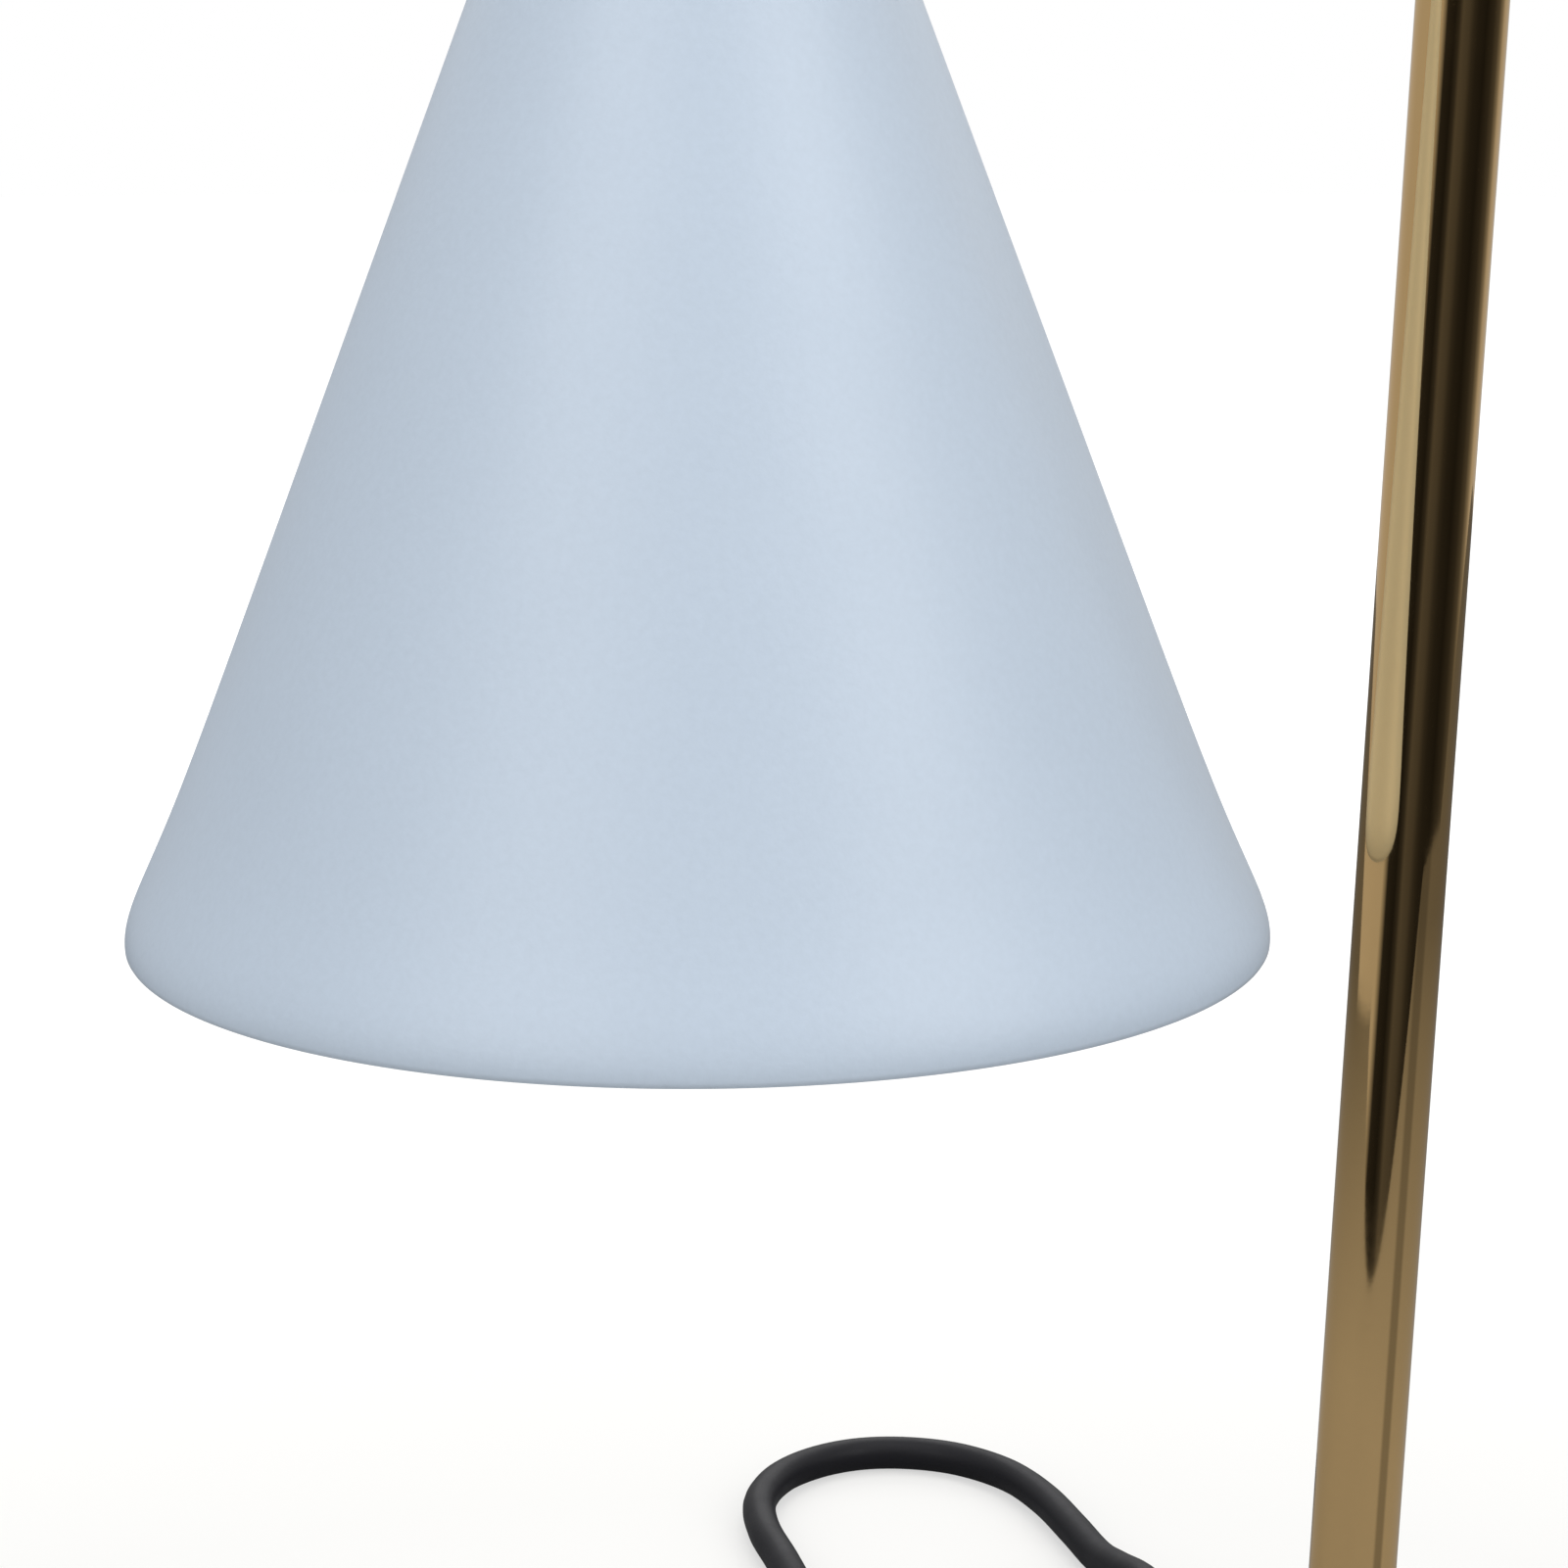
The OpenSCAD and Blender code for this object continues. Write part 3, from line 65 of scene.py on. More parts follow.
camera_data = bpy.data.cameras.new("camera")
camera_data.sensor_width = 36.0
camera_data.lens = 89.94
camera_data.clip_start = 0.01
camera = bpy.data.objects.new("camera", camera_data)
scene.collection.objects.link(camera)
turned = Matrix((CAMERA_RIGHT, CAMERA_UP, CAMERA_BACK)).transposed().to_4x4()
camera.matrix_world = Matrix.Translation(CAMERA_AT) @ turned
scene.camera = camera
scene.view_settings.view_transform = "Standard"
print("camera at", tuple(CAMERA_AT))

# %% [markdown]
# A cord is a long tube carried along a smooth line. The line goes through points that lie where the
# solid cord lies, and a Catmull-Rom curve rounds it between them. One helper rounds the line, one
# carries a circle along it, and one turns a grid of points into a mesh, so that every cord and tube
# on the lamp is made the same way.

# %% Smooth lines and tubes
def smooth_line(points, spacing):
    """Catmull-Rom curve through the points, resampled to even spacing.
    p(t) = ((2 b) + (c - a) t + (2a - 5b + 4c - d) t^2 + (3b - a - 3c + d) t^3) / 2."""
    p = np.asarray(points, float)
    p = np.vstack([2 * p[0] - p[1], p, 2 * p[-1] - p[-2]])
    t = np.linspace(0.0, 1.0, 25)[None, :-1, None]
    a, b, c, d = (p[i:len(p) - 3 + i][:, None, :] for i in range(4))
    curve = (2 * b + (c - a) * t + (2 * a - 5 * b + 4 * c - d) * t**2
             + (3 * b - a - 3 * c + d) * t**3) / 2
    return evenly(np.vstack([curve.reshape(-1, 3), p[-2]]), spacing)


def evenly(line, spacing):
    """The same line with its points an even distance apart, measured along it."""
    run = np.concatenate([[0.0], np.cumsum(np.linalg.norm(np.diff(line, axis=0), axis=1))])
    stops = np.linspace(0.0, run[-1], max(2, int(round(run[-1] / spacing)) + 1))
    return np.stack([np.interp(stops, run, line[:, k]) for k in range(3)], axis=1)


def line_length(line):
    """The length of a line, added up from point to point."""
    return float(np.linalg.norm(np.diff(line, axis=0), axis=1).sum())


def grid_faces(rings, sides, close_around=True):
    """Quads between neighbouring rings of a grid, with the last column joined to the first."""
    i, k = np.meshgrid(np.arange(rings - 1), np.arange(sides if close_around else sides - 1),
                       indexing="ij")
    nxt = (k + 1) % sides
    return np.stack([i * sides + k, i * sides + nxt, (i + 1) * sides + nxt,
                     (i + 1) * sides + k], axis=-1).reshape(-1, 4)


def end_caps(rings, sides, start=0):
    """The first and the last ring of a grid as two faces that look outwards."""
    last = start + (rings - 1) * sides
    return [range(start + sides - 1, start - 1, -1), range(last, last + sides)]


def new_piece(name, points, faces, caps=(), smooth=True):
    """A mesh object from whole arrays: points, four-cornered faces and any end caps."""
    mesh = bpy.data.meshes.new(name)
    corners = [list(map(int, f)) for f in faces] + [list(c) for c in caps]
    mesh.from_pydata(points.tolist(), [], corners)
    mesh.polygons.foreach_set("use_smooth", np.full(len(mesh.polygons), smooth))
    mesh.update()
    piece = bpy.data.objects.new(name, mesh)
    scene.collection.objects.link(piece)
    return piece


def tube_along(name, line, radius, sides, across=(0.0, 0.0, 1.0), radii=None):
    """A closed tube: centre + r (cos a * side + sin a * above), where side = along x across
    and above = along x side. Where radii are given, r is another one at each point."""
    along = np.gradient(line, axis=0)
    along /= np.linalg.norm(along, axis=1)[:, None]
    side = np.cross(along, np.broadcast_to(across, along.shape))
    side /= np.linalg.norm(side, axis=1)[:, None]
    above = np.cross(along, side)
    a = 2 * np.pi * (np.arange(sides) + 0.5) / sides
    r = np.full(len(line), radius) if radii is None else radii
    cos_a, sin_a = np.cos(a)[None, :, None], np.sin(a)[None, :, None]
    ring = cos_a * side[:, None, :] + sin_a * above[:, None, :]
    points = (line[:, None, :] + r[:, None, None] * ring).reshape(-1, 3)
    return new_piece(name, points, grid_faces(len(line), sides), end_caps(len(line), sides))


# %% [markdown]
# The cord leaves the back of the base, comes round in a U and lies alongside the lamp, where it
# enters the dimmer. From the dimmer's other end it is wound from the outside in and, one layer
# higher, back out again, and its plug lies beside the coil. The numbers repeat the route of the
# solid cord.

# %% Cords
CORD_MM, CORD_SIDES = 5.8, 20
CORD_D = CORD_MM * MM
ROUTE_STEP, RUN_STEP, STEPS_PER_TURN = 1.5, 1.9, 72
LEAD_POINTS = [
    (27.18, 101.42, 7.8), (28.5, 106.3, 7.75), (31, 116, 7), (35, 131, 4.9), (39, 146, 3.3),
    (43, 161, 2.95), (46.5, 176, 2.95), (49, 191, 2.95), (50, 206, 2.95), (50.5, 220, 2.95),
    (53, 232, 2.95), (59, 241.5, 2.95), (67, 247, 2.95), (76, 249, 2.95), (85, 247, 2.95),
    (93, 241.5, 2.95), (99, 232, 2.95), (101.5, 220, 2.95), (102, 206, 2.95), (102, 194, 3.1),
    (102, 184, 5), (102, 174, 7.3), (102, 168, 7.5)]
TAIL_POINTS = [
    (102, 52, 7.5), (102, 49, 7.45), (102, 45.5, 6.75), (102, 42, 5.3), (102, 38.5, 4.2),
    (102, 35, 3.87), (102, 31.8, 3.85)]
END_POINTS = [
    (189, 31.8, 10.1), (189, 38, 10.1), (188.9, 44, 9.4), (188.5, 50, 8.2), (187.8, 55, 7.55),
    (187, 59.5, 7.5)]
COIL_AT = np.array([145.5, 26.0])
COIL_TURNS = 6.5
COIL_IN_R = 23.2
COIL_GAP = 0.45
COIL_PITCH = CORD_MM + COIL_GAP
COIL_LOW_Z = 3.85
COIL_CLIMB = 0.5


def coil_line(per_turn):
    """Centre line of the coil. The radius shrinks by one pitch a turn until the middle turn and
    grows again, while the height climbs by one pitch over half a turn in the middle."""
    t = np.linspace(0.0, COIL_TURNS, int(COIL_TURNS * per_turn) + 1)
    r = COIL_IN_R + COIL_PITCH * (COIL_TURNS / 2 - np.minimum(t, COIL_TURNS - t))
    climbed = np.clip((t - (COIL_TURNS - COIL_CLIMB) / 2) / COIL_CLIMB, 0, 1)
    z = COIL_LOW_Z + COIL_PITCH * climbed**2 * (3 - 2 * climbed)
    a = np.pi + 2 * np.pi * t
    return np.stack([COIL_AT[0] + r * np.cos(a), COIL_AT[1] + r * np.sin(a), z], axis=1)


lead_line = smooth_line(np.array(LEAD_POINTS) * MM, ROUTE_STEP * MM)
run_line = evenly(np.vstack([smooth_line(np.array(TAIL_POINTS), ROUTE_STEP)[:-1],
                             coil_line(STEPS_PER_TURN),
                             smooth_line(np.array(END_POINTS), ROUTE_STEP)]) * MM, RUN_STEP * MM)
cord_lead = tube_along("lead_cord", lead_line, CORD_D / 2, CORD_SIDES)
cord_run = tube_along("coiled_cord", run_line, CORD_D / 2, CORD_SIDES)
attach(cord_lead, "stand")
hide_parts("cord_lead")
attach(cord_run, "stand")
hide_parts("cord_tail", "cord_coil", "cord_end")
print("lead %.3f m, coiled run %.3f m" % (line_length(lead_line), line_length(run_line)))

# %% [markdown]
# A material is a tree of nodes, and most of its wiring repeats. Each helper adds one node and wires
# it up. Every input takes either a plain value or the output of another node.

# %% Helpers for materials
def put(tree, value, socket):
    """Links the socket to another node's output, or writes a plain value into it."""
    if isinstance(value, bpy.types.NodeSocket):
        tree.links.new(value, socket)
    else:
        socket.default_value = value


def node_input(tree, kind, **values):
    """Adds a node and fills its inputs by name."""
    node = tree.nodes.new(kind)
    for key, value in values.items():
        put(tree, value, node.inputs[key.replace("_", " ")])
    return node


def math_node(tree, operation, first, second=0.0):
    node = tree.nodes.new("ShaderNodeMath")
    node.operation = operation
    put(tree, first, node.inputs[0])
    put(tree, second, node.inputs[1])
    return node.outputs[0]


def mix_colour(tree, factor, low, high):
    """Colour between low and high, by the factor."""
    node = tree.nodes.new("ShaderNodeMix")
    node.data_type = "RGBA"
    put(tree, factor, node.inputs[0])
    for index, value in ((6, low), (7, high)):
        put(tree, (*value, 1.0) if isinstance(value, tuple) else value, node.inputs[index])
    return node.outputs[2]


def span(tree, value, low, high, start=0.0, stop=1.0, way="LINEAR"):
    """A number that runs from low to high as the value runs from start to stop."""
    node = node_input(tree, "ShaderNodeMapRange", Value=value, From_Min=start, From_Max=stop,
                      To_Min=low, To_Max=high)
    node.interpolation_type = way
    return node.outputs[0]


# %% [markdown]
# The stage is a wide white floor that fades into a white room. What the camera sees of it is lit
# from within, so that it stays white, and a share of real light falls on it, so that the lamp keeps
# its soft shadow. A polished tube shows whatever stands around it, and in an all-white room it
# would look like yellow paint. So for mirror-like surfaces the floor's colour is a painted
# reflection: painted darker away from the lamp, like a table under its own pool of light, and half
# as bright on the side where the room is darkest.

# %% Stage
WHITE = (1, 1, 1, 1)
ROOM_MIDDLE = np.array([0.066, 0.0])
FLOOR_R, FLOOR_SIDES, FLOOR_Z = 4.0, 96, -0.0003
GLOW_UNSEEN, GLOW_SEEN, GLOW_REACH = 0.05, (0.58, 0.86), (0.25, 0.75)
PAPER_TONE, MIRRORED_TONE, MIRRORED_REACH = (0.36, 0.35, 0.33), (0.25, 0.07), (0.30, 0.68)
DARK_SIDE_DEG, DARK_EDGE_RAD, DARK_SHARE = -50.0, (0.12, 0.30), 0.50
AMBIENT, AMBIENT_STRENGTH = (0.93, 0.965, 1.0, 1), 0.62


def stage_material(name):
    """A material without any node yet, and its tree."""
    material = bpy.data.materials.new(name)
    material.use_nodes = True
    material.node_tree.nodes.clear()
    return material, material.node_tree


floor_material, tree = stage_material("white_floor")
ray = tree.nodes.new("ShaderNodeLightPath").outputs
place = tree.nodes.new("ShaderNodeTexCoord").outputs["Object"]
reach_node = tree.nodes.new("ShaderNodeVectorMath")
reach_node.operation = "LENGTH"
put(tree, place, reach_node.inputs[0])
away = reach_node.outputs["Value"]

seen = math_node(tree, "MAXIMUM", ray["Is Camera Ray"], ray["Is Transmission Ray"])
seen_glow = span(tree, away, *GLOW_SEEN, *GLOW_REACH)
glow = node_input(tree, "ShaderNodeEmission", Color=WHITE,
                  Strength=span(tree, seen, GLOW_UNSEEN, seen_glow))

# Painted reflection: for glossy rays the floor's colour is painted darker away from the lamp and
# half as bright towards the room's dark side.
at = node_input(tree, "ShaderNodeSeparateXYZ", Vector=place).outputs
bearing = math_node(tree, "ARCTAN2", at["Y"], math_node(tree, "SUBTRACT", at["X"], ROOM_MIDDLE[0]))
aside = math_node(tree, "SUBTRACT", bearing, math.radians(DARK_SIDE_DEG))
dark_side = span(tree, math_node(tree, "ABSOLUTE", aside), DARK_SHARE, 1.0, *DARK_EDGE_RAD,
                 way="SMOOTHSTEP")
mirrored = math_node(tree, "MULTIPLY", span(tree, away, *MIRRORED_TONE, *MIRRORED_REACH), dark_side)
paper = node_input(tree, "ShaderNodeBsdfDiffuse",
                   Color=mix_colour(tree, ray["Is Glossy Ray"], PAPER_TONE, mirrored))
both = tree.nodes.new("ShaderNodeAddShader")
put(tree, glow.outputs[0], both.inputs[0])
put(tree, paper.outputs[0], both.inputs[1])
node_input(tree, "ShaderNodeOutputMaterial", Surface=both.outputs[0])

bpy.ops.mesh.primitive_circle_add(vertices=FLOOR_SIDES, radius=FLOOR_R, fill_type="NGON",
                                  location=(0, 0, FLOOR_Z))
floor = bpy.context.active_object
floor.name = "floor"
floor.data.materials.append(floor_material)

world = bpy.data.worlds.new("room")
scene.world = world
world.use_nodes = True
tree = world.node_tree
tree.nodes.clear()
ray = tree.nodes.new("ShaderNodeLightPath").outputs
seen = math_node(tree, "MAXIMUM", ray["Is Camera Ray"], ray["Is Transmission Ray"])
seen_or_mirrored = math_node(tree, "MAXIMUM", seen, ray["Is Glossy Ray"])
white = node_input(tree, "ShaderNodeBackground", Color=WHITE, Strength=1.0)
ambient = node_input(tree, "ShaderNodeBackground", Color=AMBIENT, Strength=AMBIENT_STRENGTH)
mix = tree.nodes.new("ShaderNodeMixShader")
for index, output in enumerate((seen_or_mirrored, ambient.outputs[0], white.outputs[0])):
    put(tree, output, mix.inputs[index])
node_input(tree, "ShaderNodeOutputWorld", Surface=mix.outputs[0])

# %% [markdown]
# A room has a pale side and a dark side, and a tube shows both as upright bands. Here they are one
# low glowing curtain around the lamp, a painted reflection that only mirror-like surfaces can see.
# Its line is straight in front, like the edge of a table, and its brightness goes by the direction,
# counted from the camera.

# %% The room as the metal sees it
CAMERA_DEG = math.degrees(math.atan2(CAMERA_AT.y - ROOM_MIDDLE[1], CAMERA_AT.x - ROOM_MIDDLE[0]))
FRONT_EDGE, SIDE_REACH, BACK_REACH = 0.405, 0.72, 1.4
BACK_DEG = (100, 140)
ROOM_FOOT, ROOM_TOP = 0.02, 0.46
ROOM_TONES = [(-180, 0.52), (-112, 0.42), (-86, 0.42), (-48, 0.40), (-34, 0.02), (-14, 0.012),
              (-4, 0.03), (4, 0.075), (20, 0.058), (31, 0.03), (42, 0.018), (64, 0.012),
              (86, 0.028), (104, 0.07), (118, 0.20), (130, 0.42), (180, 0.52)]


def room_curtain():
    """Distance from the tube: min(front / cos a, side), going over to the back's reach between the
    two angles of BACK_DEG. Each point carries the tone of its direction."""
    a = np.linspace(-180.0, 180.0, 361)
    ahead = np.maximum(np.cos(np.radians(a)), FRONT_EDGE / SIDE_REACH)
    behind = np.interp(np.abs(a), BACK_DEG, [SIDE_REACH, BACK_REACH]) * (np.abs(a) > BACK_DEG[0])
    reach = np.maximum(FRONT_EDGE / ahead, behind)
    turn = np.radians(a + CAMERA_DEG)
    ring = np.stack([ROOM_MIDDLE[0] + reach * np.cos(turn), ROOM_MIDDLE[1] + reach * np.sin(turn),
                     np.zeros_like(a)], axis=1)
    points = np.vstack([ring - [0, 0, ROOM_FOOT], ring + [0, 0, ROOM_TOP]])
    piece = new_piece("room_curtain", points, grid_faces(2, len(a), close_around=False))
    tones = np.interp(a, *zip(*ROOM_TONES))
    grey = np.repeat(np.tile(tones, 2)[:, None], 4, axis=1)
    piece.data.attributes.new("tone", "FLOAT_COLOR", "POINT").data.foreach_set(
        "color", grey.astype(np.float32).ravel())
    return piece


curtain = room_curtain()
curtain_material, tree = stage_material("room_curtain")
# The curtain glows with the tone of each direction: a painted reflection of the room's pale and
# dark sides, which only glossy rays see.
tone = tree.nodes.new("ShaderNodeAttribute")
tone.attribute_name = "tone"
painted_room_glow = node_input(tree, "ShaderNodeEmission", Strength=1.0, Color=tone.outputs["Color"])
node_input(tree, "ShaderNodeOutputMaterial", Surface=painted_room_glow.outputs[0])
curtain.data.materials.append(curtain_material)
curtain.visible_camera = curtain.visible_diffuse = curtain.visible_shadow = False
curtain.visible_transmission = False

# %% [markdown]
# The lamp is switched off and lit by soft daylight: a window on either side, a weaker one behind
# and a sheet overhead. Each row gives the place, the point aimed at, the two sides in metres and
# the power in watts.

# %% Lights
LIGHTS = [("right_window", (0.85, -1.20, 1.05), (0.0, 0.0, 0.2), (1.0, 1.2), 10.0),
          ("left_window", (-1.20, -0.95, 1.00), (0.0, 0.0, 0.2), (1.0, 1.2), 8.8),
          ("back_fill", (0.6, 1.5, 1.1), (0.0, 0.0, 0.2), (1.4, 1.0), 7.0),
          ("top_sheet", (0.0, 0.0, 1.7), (0.0, 0.0, 0.0), (1.2, 1.2), 7.0)]

for name, stands_at, towards, size, power in LIGHTS:
    light = bpy.data.lights.new(name, "AREA")
    light.shape = "RECTANGLE"
    light.size, light.size_y = size
    light.energy = power
    panel = bpy.data.objects.new(name, light)
    scene.collection.objects.link(panel)
    aim = (Vector(towards) - Vector(stands_at)).to_track_quat("-Z", "Y")
    panel.matrix_world = Matrix.Translation(stands_at) @ aim.to_matrix().to_4x4()

# %% [markdown]
# Two effects come back in almost every finish. Moulded plastic, powder coat and rubber all have a
# fine grain, which shifts the colour a little and raises a low relief. Things that are handled have
# broad faint smudges, which show only in how sharp their reflections are. Each is built once as a
# node group and then placed in the materials with its own size.

# %% Shared effects
FINE_SHARE, BROAD_SHARE, BROAD_SCALE = 0.65, 0.35, 0.03
BLOTCH_FROM, BLOTCH_GAIN = 0.42, 3.2


def effect_group(name, inputs, outputs):
    """A node group with these inputs (label, kind, default) and outputs, and its two end nodes."""
    group = bpy.data.node_groups.new(name, "ShaderNodeTree")
    for label, kind, default in inputs:
        socket = group.interface.new_socket(label, in_out="INPUT", socket_type=kind)
        if default is not None:
            socket.default_value = default
    for label in outputs:
        group.interface.new_socket(label, in_out="OUTPUT", socket_type="NodeSocketFloat")
    return group, group.nodes.new("NodeGroupInput"), group.nodes.new("NodeGroupOutput")


def noise_node(tree, vector, scale, detail=2.0, roughness=0.55):
    return node_input(tree, "ShaderNodeTexNoise", Vector=vector, Scale=scale, Detail=detail,
                      Roughness=roughness).outputs["Fac"]


grain_group, start, end = effect_group(
    "fine_grain", [("Vector", "NodeSocketVector", None), ("Scale", "NodeSocketFloat", 2000.0)],
    ["Tint", "Height"])
place, scale = start.outputs["Vector"], start.outputs["Scale"]
fine = noise_node(grain_group, place, scale)
broad = noise_node(grain_group, place, math_node(grain_group, "MULTIPLY", scale, BROAD_SCALE),
                   detail=1.0)
tint = math_node(grain_group, "ADD", math_node(grain_group, "MULTIPLY", fine, FINE_SHARE),
                 math_node(grain_group, "MULTIPLY", broad, BROAD_SHARE))
put(grain_group, tint, end.inputs["Tint"])
put(grain_group, fine, end.inputs["Height"])

smudge_group, start, end = effect_group(
    "smudges", [("Vector", "NodeSocketVector", None), ("Scale", "NodeSocketFloat", 60.0)], ["Mask"])
blotch = noise_node(smudge_group, start.outputs["Vector"], start.outputs["Scale"], 4.0, 0.62)
raised = math_node(smudge_group, "SUBTRACT", blotch, BLOTCH_FROM)
sharpened = math_node(smudge_group, "MULTIPLY", raised, BLOTCH_GAIN)
above_zero = math_node(smudge_group, "MAXIMUM", sharpened, 0.0)
put(smudge_group, math_node(smudge_group, "MINIMUM", above_zero, 1.0), end.inputs["Mask"])


def place_group(tree, group, vector, scale):
    node = tree.nodes.new("ShaderNodeGroup")
    node.node_tree = group
    put(tree, vector, node.inputs["Vector"])
    put(tree, scale, node.inputs["Scale"])
    return node


# %% One finish from its colour, gloss and grain
def finish_material(name, colour, roughness, grain_mm=0.4, tint=0.08, relief_mm=0.01,
                    smudge_mm=15.0, smudge=0.05, metallic=0.0, **shader_values):
    """A Principled material. Base Color swings by tint with the grain, Roughness by smudge with the
    smudges, and a Bump of relief_mm lifts the grain. Anything else is set on the shader itself."""
    material = bpy.data.materials.new(name)
    material.use_nodes = True
    tree = material.node_tree
    shader = tree.nodes["Principled BSDF"]
    shader.inputs["Metallic"].default_value = metallic
    for key, value in shader_values.items():
        shader.inputs[key.replace("_", " ")].default_value = value
    place = tree.nodes.new("ShaderNodeTexCoord").outputs["Object"]
    grain = place_group(tree, grain_group, place, 1.0 / (grain_mm * MM))
    smudges = place_group(tree, smudge_group, place, 1.0 / (smudge_mm * MM))
    darker = tuple(c * (1 - tint) for c in colour)
    lighter = tuple(min(1.0, c * (1 + tint)) for c in colour)
    put(tree, mix_colour(tree, grain.outputs["Tint"], darker, lighter), shader.inputs["Base Color"])
    put(tree, span(tree, smudges.outputs["Mask"], roughness, roughness + smudge),
        shader.inputs["Roughness"])
    bump = node_input(tree, "ShaderNodeBump", Strength=1.0, Distance=relief_mm * MM,
                      Height=grain.outputs["Height"])
    put(tree, bump.outputs["Normal"], shader.inputs["Normal"])
    return material


# %% [markdown]
# Each slot of the record gets its finish here, and the print round the dial has one of its own.
# Colours are linear values. The pale coat is fine powder on sheet metal. The gold parts are
# polished and then plated, so they are almost mirrors. The plastics differ in gloss and in how
# coarse their moulded grain is.

# %% Finishes
FINISHES = [
    ("coat", (0.50, 0.575, 0.67), 0.40, dict(grain_mm=0.80, tint=0.06, relief_mm=0.02)),
    ("gold_plate", (0.86, 0.577, 0.262), 0.035,
     dict(grain_mm=1.5, tint=0.02, relief_mm=0.0008, smudge_mm=9.0, metallic=1.0)),
    ("zinc_steel", (0.55, 0.56, 0.57), 0.30,
     dict(grain_mm=0.25, tint=0.10, relief_mm=0.004, smudge=0.12, metallic=1.0)),
    ("black_steel", (0.05, 0.05, 0.055), 0.38, dict(metallic=1.0)),
    ("iron", (0.10, 0.10, 0.105), 0.62,
     dict(grain_mm=0.9, tint=0.22, relief_mm=0.08, metallic=1.0)),
    ("pad_rubber", (0.022, 0.022, 0.023), 0.86, dict(grain_mm=0.5, tint=0.25, relief_mm=0.10)),
    ("wire_jacket", (0.78, 0.76, 0.71), 0.42, {}),
    ("terminal_nylon", (0.74, 0.74, 0.70), 0.45, {}),
    ("black_pvc", (0.014, 0.014, 0.016), 0.46,
     dict(grain_mm=0.35, tint=0.18, relief_mm=0.02, smudge=0.10, Specular_IOR_Level=0.35)),
    ("cord_pvc", (0.0100, 0.0098, 0.0122), 0.44,
     dict(grain_mm=0.6, tint=0.15, relief_mm=0.012, smudge=0.12, Specular_IOR_Level=0.16)),
    ("washer_nylon", (0.72, 0.72, 0.68), 0.48, {}),
    ("steatite", (0.80, 0.78, 0.73), 0.28,
     dict(grain_mm=0.8, tint=0.03, relief_mm=0.02, smudge=0.10)),
    ("contact_brass", (0.72, 0.52, 0.24), 0.22,
     dict(grain_mm=0.3, tint=0.08, relief_mm=0.003, smudge=0.12, metallic=1.0)),
    ("pin_nickel", (0.66, 0.64, 0.60), 0.16,
     dict(grain_mm=0.3, tint=0.04, relief_mm=0.002, smudge=0.08, metallic=1.0)),
    ("bulb_mirror", (0.86, 0.87, 0.88), 0.10,
     dict(grain_mm=3.0, tint=0.02, relief_mm=0.015, smudge=0.06, metallic=1.0)),
    ("bulb_glass", (0.94, 0.96, 0.97), 0.06,
     dict(grain_mm=2.5, tint=0.01, relief_mm=0.02, Transmission_Weight=0.92, IOR=1.5)),
    ("control_case", (0.019, 0.019, 0.021), 0.50,
     dict(grain_mm=0.3, tint=0.20, relief_mm=0.03, smudge=0.08, Specular_IOR_Level=0.40)),
    ("board", (0.018, 0.16, 0.06), 0.35, {}),
    ("pot_blue", (0.04, 0.13, 0.30), 0.30, {}),
    ("knob_grey", (0.060, 0.060, 0.064), 0.42,
     dict(grain_mm=0.3, tint=0.15, relief_mm=0.015, smudge=0.10)),
    ("dial_print", (0.46, 0.46, 0.47), 0.55, dict(grain_mm=0.2, tint=0.10, relief_mm=0.01)),
    ("switch_black", (0.03, 0.03, 0.03), 0.35, {}),
    ("pipe_clear", (0.82, 0.90, 0.86), 0.12, dict(Transmission_Weight=0.6)),
    ("tie_strap", (0.030, 0.030, 0.032), 0.72, dict(grain_mm=0.5, tint=0.3, relief_mm=0.08))]
finishes = {name: finish_material(name, colour, roughness, **rest)
            for name, colour, roughness, rest in FINISHES}
LINING_COLOUR, LINING_ROUGHNESS = (0.80, 0.80, 0.78), 0.55


def line_the_shade(material, colour, roughness):
    """Where the mesh says "lining", the coat gives way to a paler paint that throws light down."""
    tree = material.node_tree
    shader = tree.nodes["Principled BSDF"]
    inner = tree.nodes.new("ShaderNodeAttribute")
    inner.attribute_name = "lining"
    outside_colour = shader.inputs["Base Color"].links[0].from_socket
    outside_roughness = shader.inputs["Roughness"].links[0].from_socket
    put(tree, mix_colour(tree, inner.outputs["Fac"], outside_colour, colour),
        shader.inputs["Base Color"])
    softer = tree.nodes.new("ShaderNodeMix")
    for index, value in ((0, inner.outputs["Fac"]), (2, outside_roughness), (3, roughness)):
        put(tree, value, softer.inputs[index])
    put(tree, softer.outputs[0], shader.inputs["Roughness"])


line_the_shade(finishes["coat"], LINING_COLOUR, LINING_ROUGHNESS)
for part in frame["record"]["subparts"]:
    mesh = nodes[part["node"]].data
    mesh.materials.clear()
    mesh.materials.append(finishes[part["material_slot"]])
for cord in (cord_lead, cord_run):
    cord.data.materials.append(finishes["cord_pvc"])
print("finishes:", len(finishes))

# %% [markdown]
# The shade is one sheet of spun metal. Its side is straight, it swells softly just above the rim,
# and the edge is rolled inwards. A closed outline of that sheet, turned once around the lamp's
# head, gives the whole piece: up the outside, across the top, down the inside and round the roll.
# Its rows lie closer together in the lowest part, where the swell bends it.

